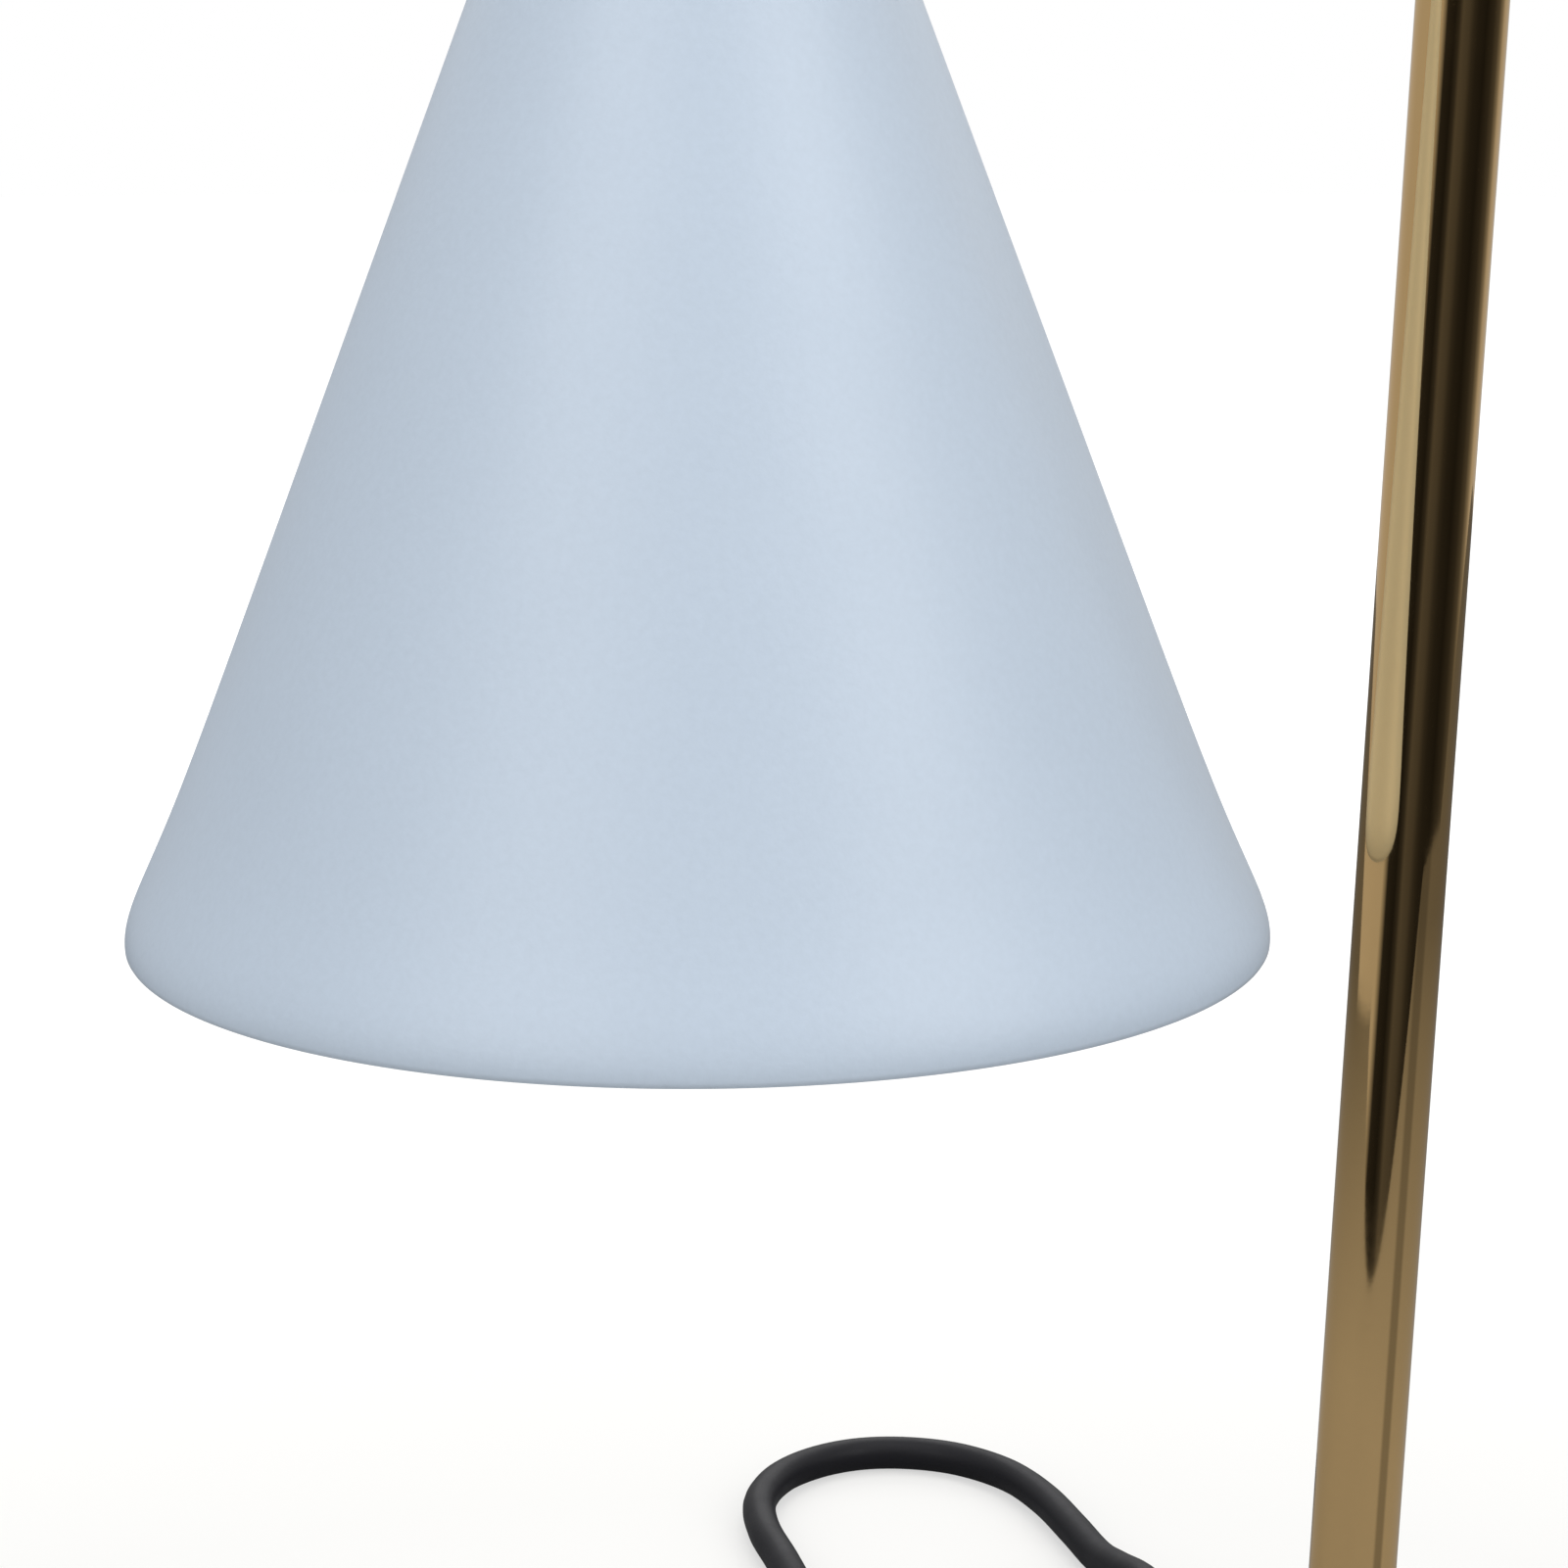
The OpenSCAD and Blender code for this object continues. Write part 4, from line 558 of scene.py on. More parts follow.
# %% Shade
SHADE_X = -16.124
RIM_Z = 168.0
SHADE_R, SHADE_TOP_R, SHADE_H, SHADE_T = 60.0, 17.0, 112.0, 1.0
HEM_R, LIP_R, HOLE_R = 1.1, 0.25, 14.3
RIM_SWELL, SWELL_Z = 0.85, 4.0
TOP_TURN, TOP_DROP, INNER_TURN = (0.35, 0.8), 0.05, 0.6
FINE_TO_Z, COARSE_FROM_Z, FINE_ROWS, COARSE_ROWS = 16, 20, 40, 24
OUTSIDE_TO_Z, INSIDE_FROM_Z, INSIDE_TO_Z = 111.6, 110.4, 2.3
TOP_COATED_POINTS = 2
SHADE_SIDES, LATHE_SIDES = 256, 160


def side_r(z):
    """Straight cone plus swell: R - slope z + swell (z / z0) exp(1 - z / z0)."""
    slope = (SHADE_R - SHADE_TOP_R) / SHADE_H
    return SHADE_R - slope * z + RIM_SWELL * z / SWELL_Z * np.exp(1 - z / SWELL_Z)


def arc(centre, r, low_deg, high_deg, steps):
    """Points on a circle from one angle to another."""
    a = np.radians(np.linspace(low_deg, high_deg, steps))
    return np.stack([centre[0] + r * np.cos(a), centre[1] + r * np.sin(a)], axis=1)


def turned_piece(name, outline, axis_x, base_z, sides):
    """A closed outline (r, z) in millimetres turned about the upright axis at x = axis_x."""
    a = 2 * np.pi * np.arange(sides) / sides
    outline = np.vstack([outline, outline[:1]]) * MM
    points = np.stack([outline[:, None, 0] * np.cos(a) + axis_x * MM,
                       outline[:, None, 0] * np.sin(a),
                       np.broadcast_to(outline[:, None, 1] + base_z * MM, (len(outline), sides))],
                      axis=-1)
    faces = grid_faces(len(outline), sides)
    last = (len(outline) - 1) * sides
    faces = np.where(faces >= last, faces - last, faces)
    return new_piece(name, points[:-1].reshape(-1, 3), faces)


outer_z = np.concatenate([np.linspace(LIP_R, FINE_TO_Z, FINE_ROWS),
                          np.linspace(COARSE_FROM_Z, OUTSIDE_TO_Z, COARSE_ROWS)])
outside = np.stack([side_r(outer_z), outer_z], axis=1)
top_edge = np.array([[SHADE_TOP_R - TOP_TURN[0], SHADE_H - TOP_DROP],
                     [SHADE_TOP_R - TOP_TURN[1], SHADE_H],
                     [HOLE_R, SHADE_H], [HOLE_R, SHADE_H - SHADE_T],
                     [SHADE_TOP_R - SHADE_T - INNER_TURN, SHADE_H - SHADE_T]])
inner_z = np.concatenate([np.linspace(INSIDE_FROM_Z, COARSE_FROM_Z, COARSE_ROWS),
                          np.linspace(FINE_TO_Z, INSIDE_TO_Z, COARSE_ROWS)])
inside = np.stack([side_r(inner_z) - SHADE_T, inner_z], axis=1)
hem_x = float(side_r(HEM_R)) - SHADE_T - HEM_R / 2
hem = arc((hem_x, HEM_R), HEM_R, 58, 268, 20)
lip = arc((SHADE_R - LIP_R, LIP_R), LIP_R, -88, -8, 6)
outline = np.vstack([lip, outside, top_edge, inside, hem])
shade_skin = turned_piece("shade_skin", outline, SHADE_X, RIM_Z, SHADE_SIDES)
lined = np.arange(len(outline)) >= len(lip) + len(outside) + TOP_COATED_POINTS
lining = shade_skin.data.attributes.new("lining", "FLOAT", "POINT")
lining.data.foreach_set("value", np.repeat(lined, SHADE_SIDES).astype(np.float32))
shade_skin.data.materials.append(finishes["coat"])
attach(shade_skin, "head")
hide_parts("shade")
print("shade outline points:", len(outline))

# %% [markdown]
# The tube is one length of polished pipe: it leans outward a little, bends over in a round arch and
# drops straight to the knuckle. Since a mirror shows every facet, it is carried along its line with
# many more steps than the construction has.

# %% Tube
POLE_R, POLE_FOOT_X, LEAN = 5.0, 58.0, math.radians(2.2)
ARCH_R, ARCH_Z, TUBE_END_Z, TUBE_START = 43.5, 336.0, 332.0, 8.9
ARCH_X = SHADE_X + ARCH_R
LEG_STEPS, BEND_STEPS, TUBE_SIDES = 160, 120, 96
DROP_AFTER = 2
leg_end = (ARCH_Z - ARCH_R * math.sin(LEAN)) / math.cos(LEAN)
leg_s = np.linspace(TUBE_START, leg_end, LEG_STEPS)[:-1]
leg = np.stack([POLE_FOOT_X + leg_s * math.sin(LEAN), 0 * leg_s, leg_s * math.cos(LEAN)], axis=1)
bend = np.linspace(-LEAN, math.pi, BEND_STEPS)
arch = np.stack([ARCH_X + ARCH_R * np.cos(bend), 0 * bend, ARCH_Z + ARCH_R * np.sin(bend)],
                axis=1)
drop = np.array([[SHADE_X, 0, ARCH_Z - DROP_AFTER], [SHADE_X, 0, TUBE_END_Z]])
tube_line = np.vstack([leg, arch, drop]) * MM
tube_skin = tube_along("tube_skin", tube_line, POLE_R * MM, TUBE_SIDES, across=(0.0, 1.0, 0.0))
tube_skin.data.materials.append(finishes["gold_plate"])
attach(tube_skin, "stand")
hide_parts("pole_tube")
print("tube length %.1f mm" % (line_length(tube_line) / MM))

# %% [markdown]
# The socket cup and the collar are turned on a lathe and then plated. Their outlines have what a
# lathe leaves: small rounded edges, a fine groove above the cup's lower edge, and on the collar a
# rounded flange, a hollow cove and a bead. Arcs give these outlines, so that a mirror stays smooth
# on them.

# %% Socket cup and collar
CUP_R, CUP_H, CUP_ROUND, SPIGOT_R, SPIGOT_H = 15.6, 32.0, 5.0, 14.1, 9.0
CUP_BORE_R, CUP_ROOF_Z, STEM_R = 13.4, 30.4, 5.02
CUP_EDGE_R, CUP_FOOT_Z, STEM_EDGE = 0.35, 0.4, 0.3
CUP_STEP, CUP_STEP_Z, SEAT_GAP = 1, 25.2, 0.05
GROOVE_Z, GROOVE_DEEP, GROOVE_HALF = 3.2, 0.35, 0.45
GROOVE_EDGE, GROOVE_EDGE_HALF = 0.1, 0.36
cup_outline = np.vstack([
    arc((CUP_R - CUP_EDGE_R, CUP_FOOT_Z), CUP_EDGE_R, -80, 0, 6),
    [[CUP_R, GROOVE_Z - GROOVE_HALF], [CUP_R - GROOVE_EDGE, GROOVE_Z - GROOVE_EDGE_HALF]],
    arc((CUP_R, GROOVE_Z), GROOVE_DEEP, 240, 120, 8),
    [[CUP_R - GROOVE_EDGE, GROOVE_Z + GROOVE_EDGE_HALF], [CUP_R, GROOVE_Z + GROOVE_HALF],
     [CUP_R, 12], [CUP_R, 20]],
    arc((CUP_R - CUP_ROUND, CUP_H - CUP_ROUND), CUP_ROUND, 0, 90, 28),
    [[STEM_R + STEM_EDGE, CUP_H], [STEM_R, CUP_H - STEM_EDGE], [STEM_R, CUP_ROOF_Z],
     [CUP_BORE_R - CUP_STEP, CUP_ROOF_Z], [CUP_BORE_R - CUP_STEP, CUP_STEP_Z],
     [CUP_BORE_R, CUP_STEP_Z], [CUP_BORE_R, -SPIGOT_H], [SPIGOT_R, -SPIGOT_H],
     [SPIGOT_R, SEAT_GAP]]])
cup_skin = turned_piece("cup_skin", cup_outline, SHADE_X, RIM_Z + SHADE_H, LATHE_SIDES)

COLLAR_R, FLANGE_H, COLLAR_H, COLLAR_BORE = 13.0, 3.0, 9.0, 4.6
COLLAR_EDGE_R, FLANGE_ROUND, COVE_IN = 0.25, 1.1, 1.2
BEAD_AT, BEAD_R, BEAD_LIP = (6.55, 7.55), 0.95, [5.4, 8.5]
COLLAR_TOP_R = 5.25
BASE_TOP_Z = 18.0
COLLAR_X = POLE_FOOT_X + BASE_TOP_Z * math.tan(LEAN)
collar_outline = np.vstack([
    [[COLLAR_R - COLLAR_EDGE_R, 0.0]],
    arc((COLLAR_R - COLLAR_EDGE_R, COLLAR_EDGE_R), COLLAR_EDGE_R, -60, 0, 4),
    arc((COLLAR_R - FLANGE_ROUND, FLANGE_H - FLANGE_ROUND), FLANGE_ROUND, 0, 90, 12),
    arc((COLLAR_R - COVE_IN, COLLAR_H), COLLAR_H - FLANGE_H, 270, 217, 16),
    arc(BEAD_AT, BEAD_R, -55, 90, 12),
    [BEAD_LIP, [COLLAR_TOP_R, COLLAR_H], [COLLAR_BORE, COLLAR_H], [COLLAR_BORE, 0.0]]])
collar_skin = turned_piece("collar_skin", collar_outline, COLLAR_X, BASE_TOP_Z, LATHE_SIDES)
for piece, body, node in ((cup_skin, "head", "socket_cup"), (collar_skin, "stand", "pole_collar")):
    piece.data.materials.append(finishes["gold_plate"])
    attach(piece, body)
    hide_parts(node)
print("turned pieces:", cup_skin.name, collar_skin.name)

# %% [markdown]
# Nothing that is made has a truly sharp edge. Milled and moulded parts have a small round where two
# faces meet, and it is this line that catches the light. The construction leaves it out, so each
# piece that shows is copied here, its loose triangles are joined, flat faces are made whole, and a
# bevel rounds every edge that turns sharply. Long outer edges may get a wider round first.

# %% Rounded edges on the small parts
MERGE_M, FLAT_DEG, SHARP_DEG = 2e-6, 0.6, 34.0
ROUND_STEPS, FIRST_STEPS = 3, 6
FLAT_FACE_WEIGHT = 100


def sharp_edges(shape):
    """The edges between two faces that turn by more than SHARP_DEG."""
    return [e for e in shape.edges
            if len(e.link_faces) == 2 and e.calc_face_angle(0.0) > math.radians(SHARP_DEG)]


def round_off(shape, chosen, width, segments):
    """Bevels the chosen edges: width in millimetres, measured back from the edge."""
    bmesh.ops.bevel(shape, geom=chosen, offset=width * MM, offset_type="OFFSET", segments=segments,
                    profile=0.5, affect="EDGES", clamp_overlap=True)


def eased_copy(name, body, slot, width, first=None, first_width=0.0):
    """A copy of a construction piece with rounded edges. first(middle in mm) picks the edges that
    get first_width before the others get width."""
    shape = bmesh.new()
    shape.from_mesh(nodes[name].data)
    bmesh.ops.remove_doubles(shape, verts=shape.verts, dist=MERGE_M)
    bmesh.ops.dissolve_limit(shape, angle_limit=math.radians(FLAT_DEG), verts=shape.verts,
                             edges=shape.edges)
    if first:
        picked = [e for e in sharp_edges(shape)
                  if first((e.verts[0].co + e.verts[1].co) * 0.5 / MM)]
        round_off(shape, picked, first_width, FIRST_STEPS)
    round_off(shape, sharp_edges(shape), width, ROUND_STEPS)
    bmesh.ops.recalc_face_normals(shape, faces=shape.faces)
    mesh = bpy.data.meshes.new(name + "_eased")
    shape.to_mesh(mesh)
    shape.free()
    mesh.polygons.foreach_set("use_smooth", np.ones(len(mesh.polygons), bool))
    piece = bpy.data.objects.new(name + "_eased", mesh)
    scene.collection.objects.link(piece)
    normals = piece.modifiers.new("flat faces stay flat", "WEIGHTED_NORMAL")
    normals.weight = FLAT_FACE_WEIGHT
    mesh.materials.append(finishes[slot])
    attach(piece, body)
    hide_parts(name)
    return piece


CASE_TOP_Z, CASE_MIDDLE, CASE_END_TOLERANCE = 15.0, (102.0, 110.0), 0.1


def beyond(point, half_x, half_y):
    """Whether the point lies outside a box of these half sizes about the middle of the case."""
    return abs(point.x - CASE_MIDDLE[0]) > half_x or abs(point.y - CASE_MIDDLE[1]) > half_y


EASED = [("pivot_screw", "stand", "gold_plate", 0.3),
         ("pivot_nut", "stand", "gold_plate", 0.3), ("head_tongue", "head", "gold_plate", 0.4),
         ("dimmer_knob", "dimmer_dial", "knob_grey", 0.22),
         ("timer_button", "timer_key", "knob_grey", 0.35),
         ("plug_blades", "stand", "contact_brass", 0.22)]
made = {name: eased_copy(name, body, slot, width) for name, body, slot, width in EASED}
made["control_top"] = eased_copy(
    "control_top", "stand", "control_case", 0.25, first_width=1.6,
    first=lambda m: m.z > CASE_TOP_Z - CASE_END_TOLERANCE and beyond(m, 10, 33))
made["control_bottom"] = eased_copy(
    "control_bottom", "stand", "control_case", 0.25, first_width=1.0,
    first=lambda m: m.z < CASE_END_TOLERANCE and beyond(m, 14, 37))
print("eased pieces:", len(made))

# %% [markdown]
# The dial needs something to point at. A row of printed dots runs round it along its whole turn,
# large at the bright end and small at the dim end. They are thin discs of paint on the case.

# %% Dots round the dial
DIAL_AT, DIAL_TURN = (102.0, 128.0), 270.0
DOT_RING_R, DOT_COUNT, DOT_SIDES = 11.6, 10, 20
DOT_H, DOT_SUNK = 0.06, 0.05
DOT_R = (0.75, 0.28)


def dial_dots():
    """Closed discs of paint from the bright end of the turn to the dim end."""
    points, faces, caps, sides = [], [], [], DOT_SIDES
    for k in range(DOT_COUNT):
        turn = math.radians(DIAL_TURN * k / (DOT_COUNT - 1))
        r = DOT_R[0] + (DOT_R[1] - DOT_R[0]) * k / (DOT_COUNT - 1)
        a = 2 * np.pi * np.arange(sides) / sides
        x = DIAL_AT[0] + DOT_RING_R * math.cos(turn) + r * np.cos(a)
        y = DIAL_AT[1] + DOT_RING_R * math.sin(turn) + r * np.sin(a)
        start = 2 * sides * k
        points += [np.stack([x, y, np.full(sides, CASE_TOP_Z - DOT_SUNK)], 1),
                   np.stack([x, y, np.full(sides, CASE_TOP_Z + DOT_H)], 1)]
        faces.append(grid_faces(2, sides) + start)
        caps += end_caps(2, sides, start)
    return new_piece("dial_dots", np.vstack(points) * MM, np.vstack(faces), caps, smooth=False)


dots = dial_dots()
dots.data.materials.append(finishes["dial_print"])
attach(dots, "stand")

# %% [markdown]
# The fork at the end of the tube is a round cap with two ears. Seen from the side an ear is a half
# circle around the pivot with straight flanks, and its shoulders draw in to meet the cap. The cap
# is turned and domed. Both ears are cut from plate and their edges are rounded.

# %% Fork of the knuckle
PIVOT_Z, EAR_R, EAR_IN, EAR_OUT = 322.0, 6.5, 2.4, 5.0
EAR_TOP_Z, SHOULDER_Z, NECK_HALF = 331.0, 325.0, 3.6
EAR_ROUND, EAR_MIDDLE_Z = 0.5, PIVOT_Z + 1.5
CAP_R, CAP_LOW_Z, CAP_TOP_Z = 6.6, 329.0, 332.0
CAP_BORE, CAP_EDGE_R, CAP_DOME_R, CAP_SIDES = 4.6, 0.4, 1.6, 96


def ear_outline():
    """(x, z) around one ear: half circle r = EAR_R, flanks, then a smooth step in to NECK_HALF."""
    low = arc((0.0, PIVOT_Z), EAR_R, 180, 360, 49)
    z = np.linspace(SHOULDER_Z, EAR_TOP_Z, 20)
    step = np.sin(np.pi / 2 * (z - SHOULDER_Z) / (EAR_TOP_Z - SHOULDER_Z))**2
    right = np.stack([EAR_R - (EAR_R - NECK_HALF) * step, z], axis=1)
    return np.vstack([low, right, right[::-1] * [-1, 1]])


def plate(outline, y_low, y_high, round_r, steps=5):
    """The outline as a plate between two y planes. Towards each plane y comes in by
    round_r (1 - sin a) and the outline by round_r (1 - cos a), which rounds the edges."""
    middle = np.array([0.0, EAR_MIDDLE_Z])
    a = np.radians(np.linspace(90, 0, steps))
    y_in, drawn_in = round_r * (1 - np.sin(a)), round_r * (1 - np.cos(a))
    y = np.concatenate([y_low + y_in, (y_high - y_in)[::-1]])
    inset = np.concatenate([drawn_in, drawn_in[::-1]])
    out_way = outline - middle
    out_way /= np.linalg.norm(out_way, axis=1)[:, None]
    ring = outline[None] - inset[:, None, None] * out_way[None]
    x = ring[..., 0] + SHADE_X
    points = np.stack([x, np.broadcast_to(y[:, None], x.shape), ring[..., 1]], axis=-1)
    return points.reshape(-1, 3), len(y), len(outline)


def fork_skin():
    """Two ears and the cap above them, gathered in one mesh."""
    parts, faces, caps, start = [], [], [], 0
    for low, high in ((EAR_IN, EAR_OUT), (-EAR_OUT, -EAR_IN)):
        points, rings, sides = plate(ear_outline(), low, high, EAR_ROUND)
        parts.append(points)
        faces.append(grid_faces(rings, sides) + start)
        caps += end_caps(rings, sides, start)
        start += len(points)
    cap = np.vstack([
        [[CAP_BORE, CAP_LOW_Z]],
        arc((CAP_R - CAP_EDGE_R, CAP_LOW_Z + CAP_EDGE_R), CAP_EDGE_R, -90, 0, 5),
        arc((CAP_R - CAP_DOME_R, CAP_TOP_Z - CAP_DOME_R), CAP_DOME_R, 8, 90, 12),
        [[CAP_BORE, CAP_TOP_Z]]])
    cap_piece = turned_piece("cap", cap, SHADE_X, 0.0, CAP_SIDES)
    points = np.array([v.co[:] for v in cap_piece.data.vertices]) / MM
    faces.append(np.array([f.vertices[:] for f in cap_piece.data.polygons]) + start)
    bpy.data.objects.remove(cap_piece)
    parts.append(points)
    return new_piece("fork_skin", np.vstack(parts) * MM, np.vstack(faces), caps)


fork = fork_skin()
for face in fork.data.polygons:
    face.use_smooth = len(face.vertices) == 4
fork.data.materials.append(finishes["gold_plate"])
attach(fork, "stand")
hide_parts("arm_fork")

# %% [markdown]
# A strain relief is a soft taper that lets a cord bend without kinking. Rings cut into it make it
# bend more evenly, with less and less material towards the tip. One function makes all three, with
# the radius a cone less a row of rounded cuts. The plug has the same taper, which then opens into
# the body that fingers grip.

# %% Strain reliefs
RELIEF_STEP, RELIEF_SIDES = 0.12, 48
RING_PITCH, RING_WIDE, RING_DEEP = 2.6, 1.3, 0.62
TIP_RUN, TIP_IN = np.array([0.12, 0.22]), np.array([0.12, 0.4])


def cuts(s, low, high, pitch, wide):
    """1 inside the rounded cuts between low and high, 0 on the rings: a raised cosine per pitch."""
    phase = np.abs(((s - low) % pitch) / pitch - 0.5) * pitch
    inside = (s > low) & (s < high) & (phase < wide / 2)
    return np.where(inside, 0.5 + 0.5 * np.cos(2 * np.pi * np.clip(phase / wide, 0, 0.5)), 0.0)


def heading(deg):
    """The level direction at this angle from +X."""
    return np.array([math.cos(math.radians(deg)), math.sin(math.radians(deg)), 0.0])


def relief_skin(name, node, start, direction, stations, low, high):
    """A ribbed taper along a straight line. stations are (distance, radius) in millimetres, and the
    rings lie between low and high. Two last steps round the tip."""
    s = np.arange(stations[0][0], stations[-1][0] + RELIEF_STEP / 2, RELIEF_STEP)
    r = np.interp(s, *zip(*stations)) - RING_DEEP * cuts(s, low, high, RING_PITCH, RING_WIDE)
    s = np.append(s, s[-1] + TIP_RUN)
    r = np.append(r, stations[-1][1] - TIP_IN)
    line = (np.array(start) + s[:, None] * np.array(direction)) * MM
    piece = tube_along(name, line, 0, RELIEF_SIDES, radii=r * MM)
    piece.data.materials.append(finishes["black_pvc"])
    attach(piece, "stand")
    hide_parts(node)
    return piece


GLAND_DEG, BASE_R, GLAND_Z = 75.0, 75.0, 7.8
GLAND_STATIONS = [(-3.4, 4.3), (-1.4, 4.85), (-1.3, 4.28), (-0.05, 4.28), (0.0, 5.75), (0.2, 6.0),
                  (1.2, 6.0), (1.5, 5.7), (1.6, 4.95), (29.7, 3.62)]
gland_way = heading(GLAND_DEG)
relief_skin("gland_skin", "cord_gland", BASE_R * gland_way + [0, 0, GLAND_Z], gland_way,
            GLAND_STATIONS, 5.0, 28.0)
RELIEF_STATIONS = [(-3.9, 4.5), (-1.95, 4.6), (-1.9, 3.58), (-0.02, 3.58), (0.02, 4.5),
                   (0.25, 4.62), (19.7, 3.62)]
CORD_IN_CASE_Z = 7.5
relief_in, relief_out = (
    relief_skin(node + "_skin", node, (CASE_MIDDLE[0], end_y, CORD_IN_CASE_Z), (0.0, way, 0.0),
                RELIEF_STATIONS, 3.0, 18.5)
    for node, end_y, way in (("relief_in", 148.0, 1.0), ("relief_out", 72.0, -1.0)))

# %% The plug's body
PLUG_AT, PLUG_DEG = np.array([187.0, 59.5, 7.5]), 100.0
SLEEVE_L, SLEEVE_RADII, SLEEVE_RING_DEEP = 24.0, [3.6, 4.5], 0.6
PLUG_L, PLUG_HALF_W, PLUG_HALF_T, PLUG_ROUND = 30.0, 12.0, 7.5, 1.6
WAIST_HALF_W, WAIST_HALF_T = 6.9, 5.6
ROUND_POWER, SQUARER_BY = 2.0, 2.6
GRIP_DEEP, GRIP_PITCH, GRIP_WIDE, GRIP_SIDE = 0.35, 2.2, 1.2, (0.72, 0.9)
FACE_RINGS = np.array([0.8, 0.45, 0.05])
PLUG_RINGS, PLUG_SIDES = 90, 72


def smooth_step(x, low, high):
    """0 up to low and 1 from high on, with a smooth climb t^2 (3 - 2 t) between."""
    t = np.clip((x - low) / (high - low), 0, 1)
    return t * t * (3 - 2 * t)


def signed_power(x, p):
    """|x|^p with the sign of x, which bends a circle into a superellipse."""
    return np.sign(x) * np.abs(x)**p


def plug_skin():
    """Superellipse rings |x/w|^n + |y/t|^n = 1 along the plug. w, t and n go from the round sleeve
    to a soft rectangle, and the last rings draw in over the front edge and close the face."""
    s = np.concatenate([np.arange(0, SLEEVE_L, RELIEF_STEP),
                        np.linspace(SLEEVE_L, SLEEVE_L + PLUG_L - PLUG_ROUND, PLUG_RINGS)])
    sleeve = (np.interp(s, [0, SLEEVE_L], SLEEVE_RADII)
              - SLEEVE_RING_DEEP * cuts(s, 2.0, 20.0, RING_PITCH, RING_WIDE))
    opened = smooth_step(s, SLEEVE_L - 2.5, SLEEVE_L + 5.0)
    spread = smooth_step(s, SLEEVE_L + 2.0, SLEEVE_L + 18.0)
    grip = GRIP_DEEP * cuts(s, SLEEVE_L + 13.0, SLEEVE_L + 24.0, GRIP_PITCH, GRIP_WIDE)
    w = sleeve + opened * (WAIST_HALF_W - sleeve) + spread * (PLUG_HALF_W - WAIST_HALF_W)
    t = sleeve + opened * (WAIST_HALF_T - sleeve) + spread * (PLUG_HALF_T - WAIST_HALF_T)
    n = ROUND_POWER + SQUARER_BY * smooth_step(s, SLEEVE_L, SLEEVE_L + 12.0)
    turn = np.radians(np.linspace(0, 90, 8))
    front = SLEEVE_L + PLUG_L - PLUG_ROUND + PLUG_ROUND * np.sin(turn)
    drawn = PLUG_ROUND * (1 - np.cos(turn))
    added = len(front) + len(FACE_RINGS)
    s = np.concatenate([s, front, np.full(len(FACE_RINGS), front[-1])])
    w = np.concatenate([w, w[-1] - drawn, (w[-1] - PLUG_ROUND) * FACE_RINGS])
    t = np.concatenate([t, t[-1] - drawn, (t[-1] - PLUG_ROUND) * FACE_RINGS])
    n = np.concatenate([n, np.full(added, n[-1])])
    grip = np.concatenate([grip, np.zeros(added)])
    a = 2 * np.pi * (np.arange(PLUG_SIDES) + 0.5) / PLUG_SIDES
    c, d = np.cos(a)[None, :], np.sin(a)[None, :]
    power = 2 / n[:, None]
    on_side = smooth_step(np.abs(c), *GRIP_SIDE)
    x = (w[:, None] - grip[:, None] * on_side) * signed_power(c, power)
    y = t[:, None] * signed_power(d, power)
    ahead = heading(PLUG_DEG)
    side = np.array([-ahead[1], ahead[0], 0.0])
    points = (PLUG_AT + s[:, None, None] * ahead + x[..., None] * side
              + y[..., None] * np.array([0.0, 0.0, 1.0]))
    return new_piece("plug_skin", points.reshape(-1, 3) * MM, grid_faces(len(s), PLUG_SIDES),
                     end_caps(len(s), PLUG_SIDES))


plug = plug_skin()
plug.data.materials.append(finishes["black_pvc"])
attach(plug, "stand")
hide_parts("plug_body")
print("plug points:", len(plug.data.vertices))

# %% [markdown]
# The strap is a flat band of hook-and-loop tape. It goes once round the bundle and on over its own
# start. Its middle line is a rounded rectangle, pushed outwards where the second layer lies.

# %% Strap round the coil
TIE_W, TIE_T = 10.0, 0.8
TIE_IN, TIE_OUT, TIE_TOP = 19.7, 45.0, 13.15
TIE_ROUND, TIE_LAP = 3.2, 15.0
LAP_GAP, LAP_BEFORE, LAP_AFTER = 0.05, 4.0, 1.0
BAND_SIDE_POWER, BAND_FACE_POWER, BAND_THINNER = 0.28, 0.5, 0.02
BAND_STEPS, BAND_SIDES = 260, 28


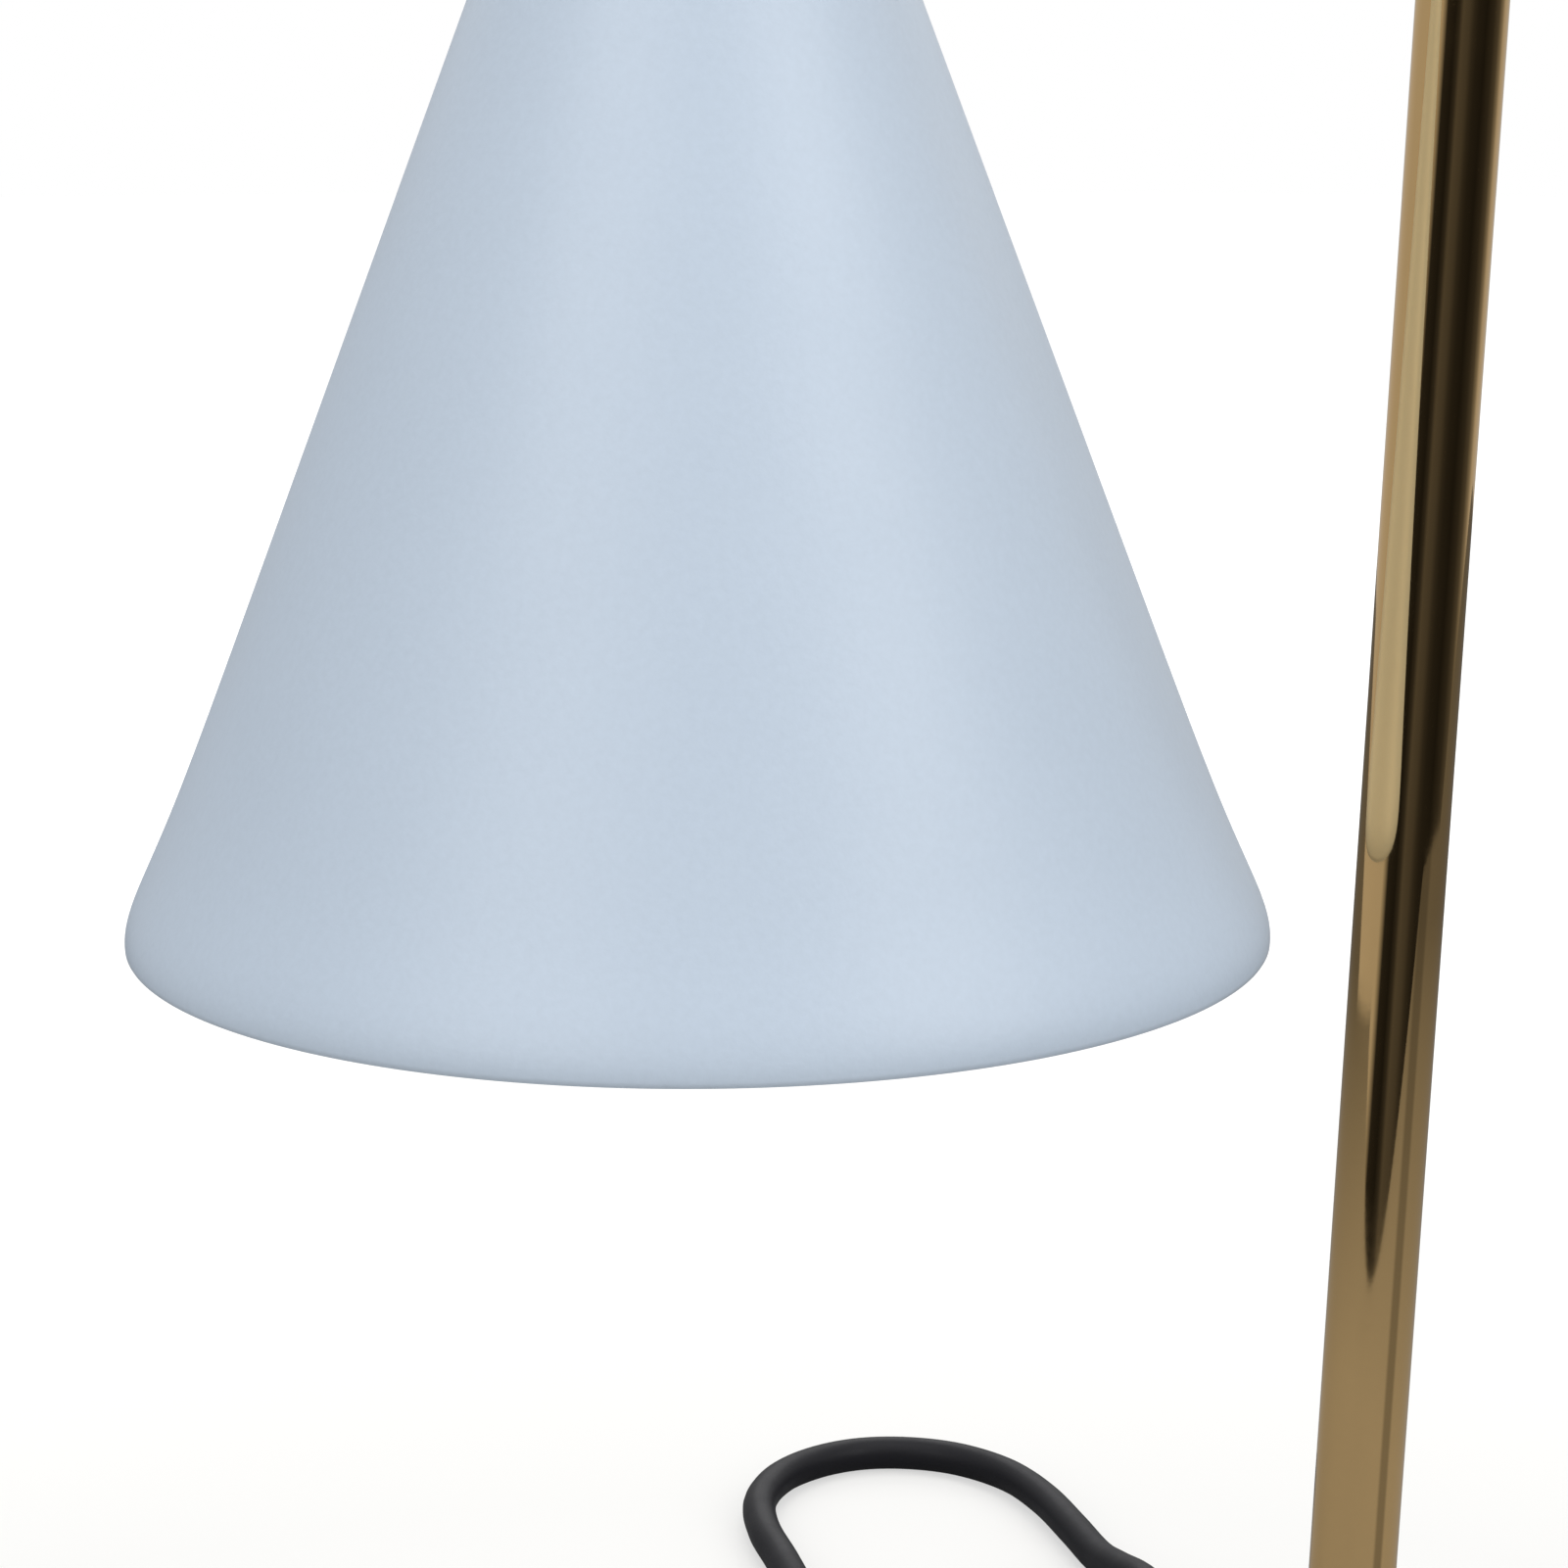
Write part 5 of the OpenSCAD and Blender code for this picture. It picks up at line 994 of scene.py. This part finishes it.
def strap_line(steps):
    """Points and outward directions along a rounded rectangle, from the middle of its top once
    round and TIE_LAP on. The loop adds one straight run and the corner after it at a time."""
    half_w, half_h, round_r = (TIE_OUT - TIE_IN) / 2, (TIE_TOP - TIE_T) / 2, TIE_ROUND
    straight = [2 * (half_w - round_r), 2 * (half_h - round_r)]
    quarter = math.pi / 2 * round_r
    around = 2 * (straight[0] + straight[1]) + 4 * quarter
    s = np.linspace(0, around + TIE_LAP, steps)
    left = s % around
    at, facing = np.zeros((steps, 2)), np.zeros((steps, 2))
    corners = np.array([(1, 1), (1, -1), (-1, -1), (-1, 1)])
    ways = np.array([(1, 0), (0, -1), (-1, 0), (0, 1)])
    normals = np.array([(0.0, 1.0), (1.0, 0.0), (0.0, -1.0), (-1.0, 0.0)])
    bend_end = 0.0
    for k, (corner, way, normal) in enumerate(zip(corners, ways, normals)):
        low = bend_end
        run = straight[k % 2] if k else straight[0] / 2
        bend_end = low + run + quarter
        middle = corner * np.array([half_w - round_r, half_h - round_r])
        on_run = ((left >= low) & (left < low + run))[:, None]
        back = (low + run - left)[:, None]
        at = np.where(on_run, middle + normal * round_r - back * way, at)
        facing = np.where(on_run, normal, facing)
        on_bend = ((left >= low + run) & (left < bend_end))[:, None]
        turned = ((left - low - run) / round_r)[:, None]
        spoke = np.cos(turned) * normal + np.sin(turned) * way
        at = np.where(on_bend, middle + spoke * round_r, at)
        facing = np.where(on_bend, spoke, facing)
    last_run = (left >= bend_end)[:, None]
    onward = (left - bend_end)[:, None]
    at = np.where(last_run, np.array([-(half_w - round_r), half_h]) + onward * [1, 0], at)
    facing = np.where(last_run, np.array([0.0, 1.0]), facing)
    lapped = smooth_step(s, around - LAP_BEFORE, around + LAP_AFTER)
    lift = TIE_T / 2 + (TIE_T + LAP_GAP) * lapped
    return at + facing * lift[:, None], facing


def strap_skin():
    """A rounded flat band carried along the strap's line: x = half width cos^p, out = half
    thickness sin^p, where p flattens the ellipse to a band."""
    line, facing = strap_line(BAND_STEPS)
    a = 2 * np.pi * (np.arange(BAND_SIDES) + 0.5) / BAND_SIDES
    across = TIE_W / 2 * signed_power(np.cos(a), BAND_SIDE_POWER)
    rise = (TIE_T / 2 - BAND_THINNER) * signed_power(np.sin(a), BAND_FACE_POWER)
    yz = line[:, None, :] + rise[None, :, None] * facing[:, None, :]
    points = np.stack([COIL_AT[0] + np.broadcast_to(across, yz.shape[:2]),
                       COIL_AT[1] - (TIE_IN + TIE_OUT) / 2 - yz[..., 0],
                       (TIE_TOP + TIE_T) / 2 + yz[..., 1]], axis=-1)
    return new_piece("strap_skin", points.reshape(-1, 3) * MM, grid_faces(len(line), BAND_SIDES),
                     end_caps(len(line), BAND_SIDES))


strap = strap_skin()
strap.data.materials.append(finishes["tie_strap"])
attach(strap, "stand")
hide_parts("cord_tie")
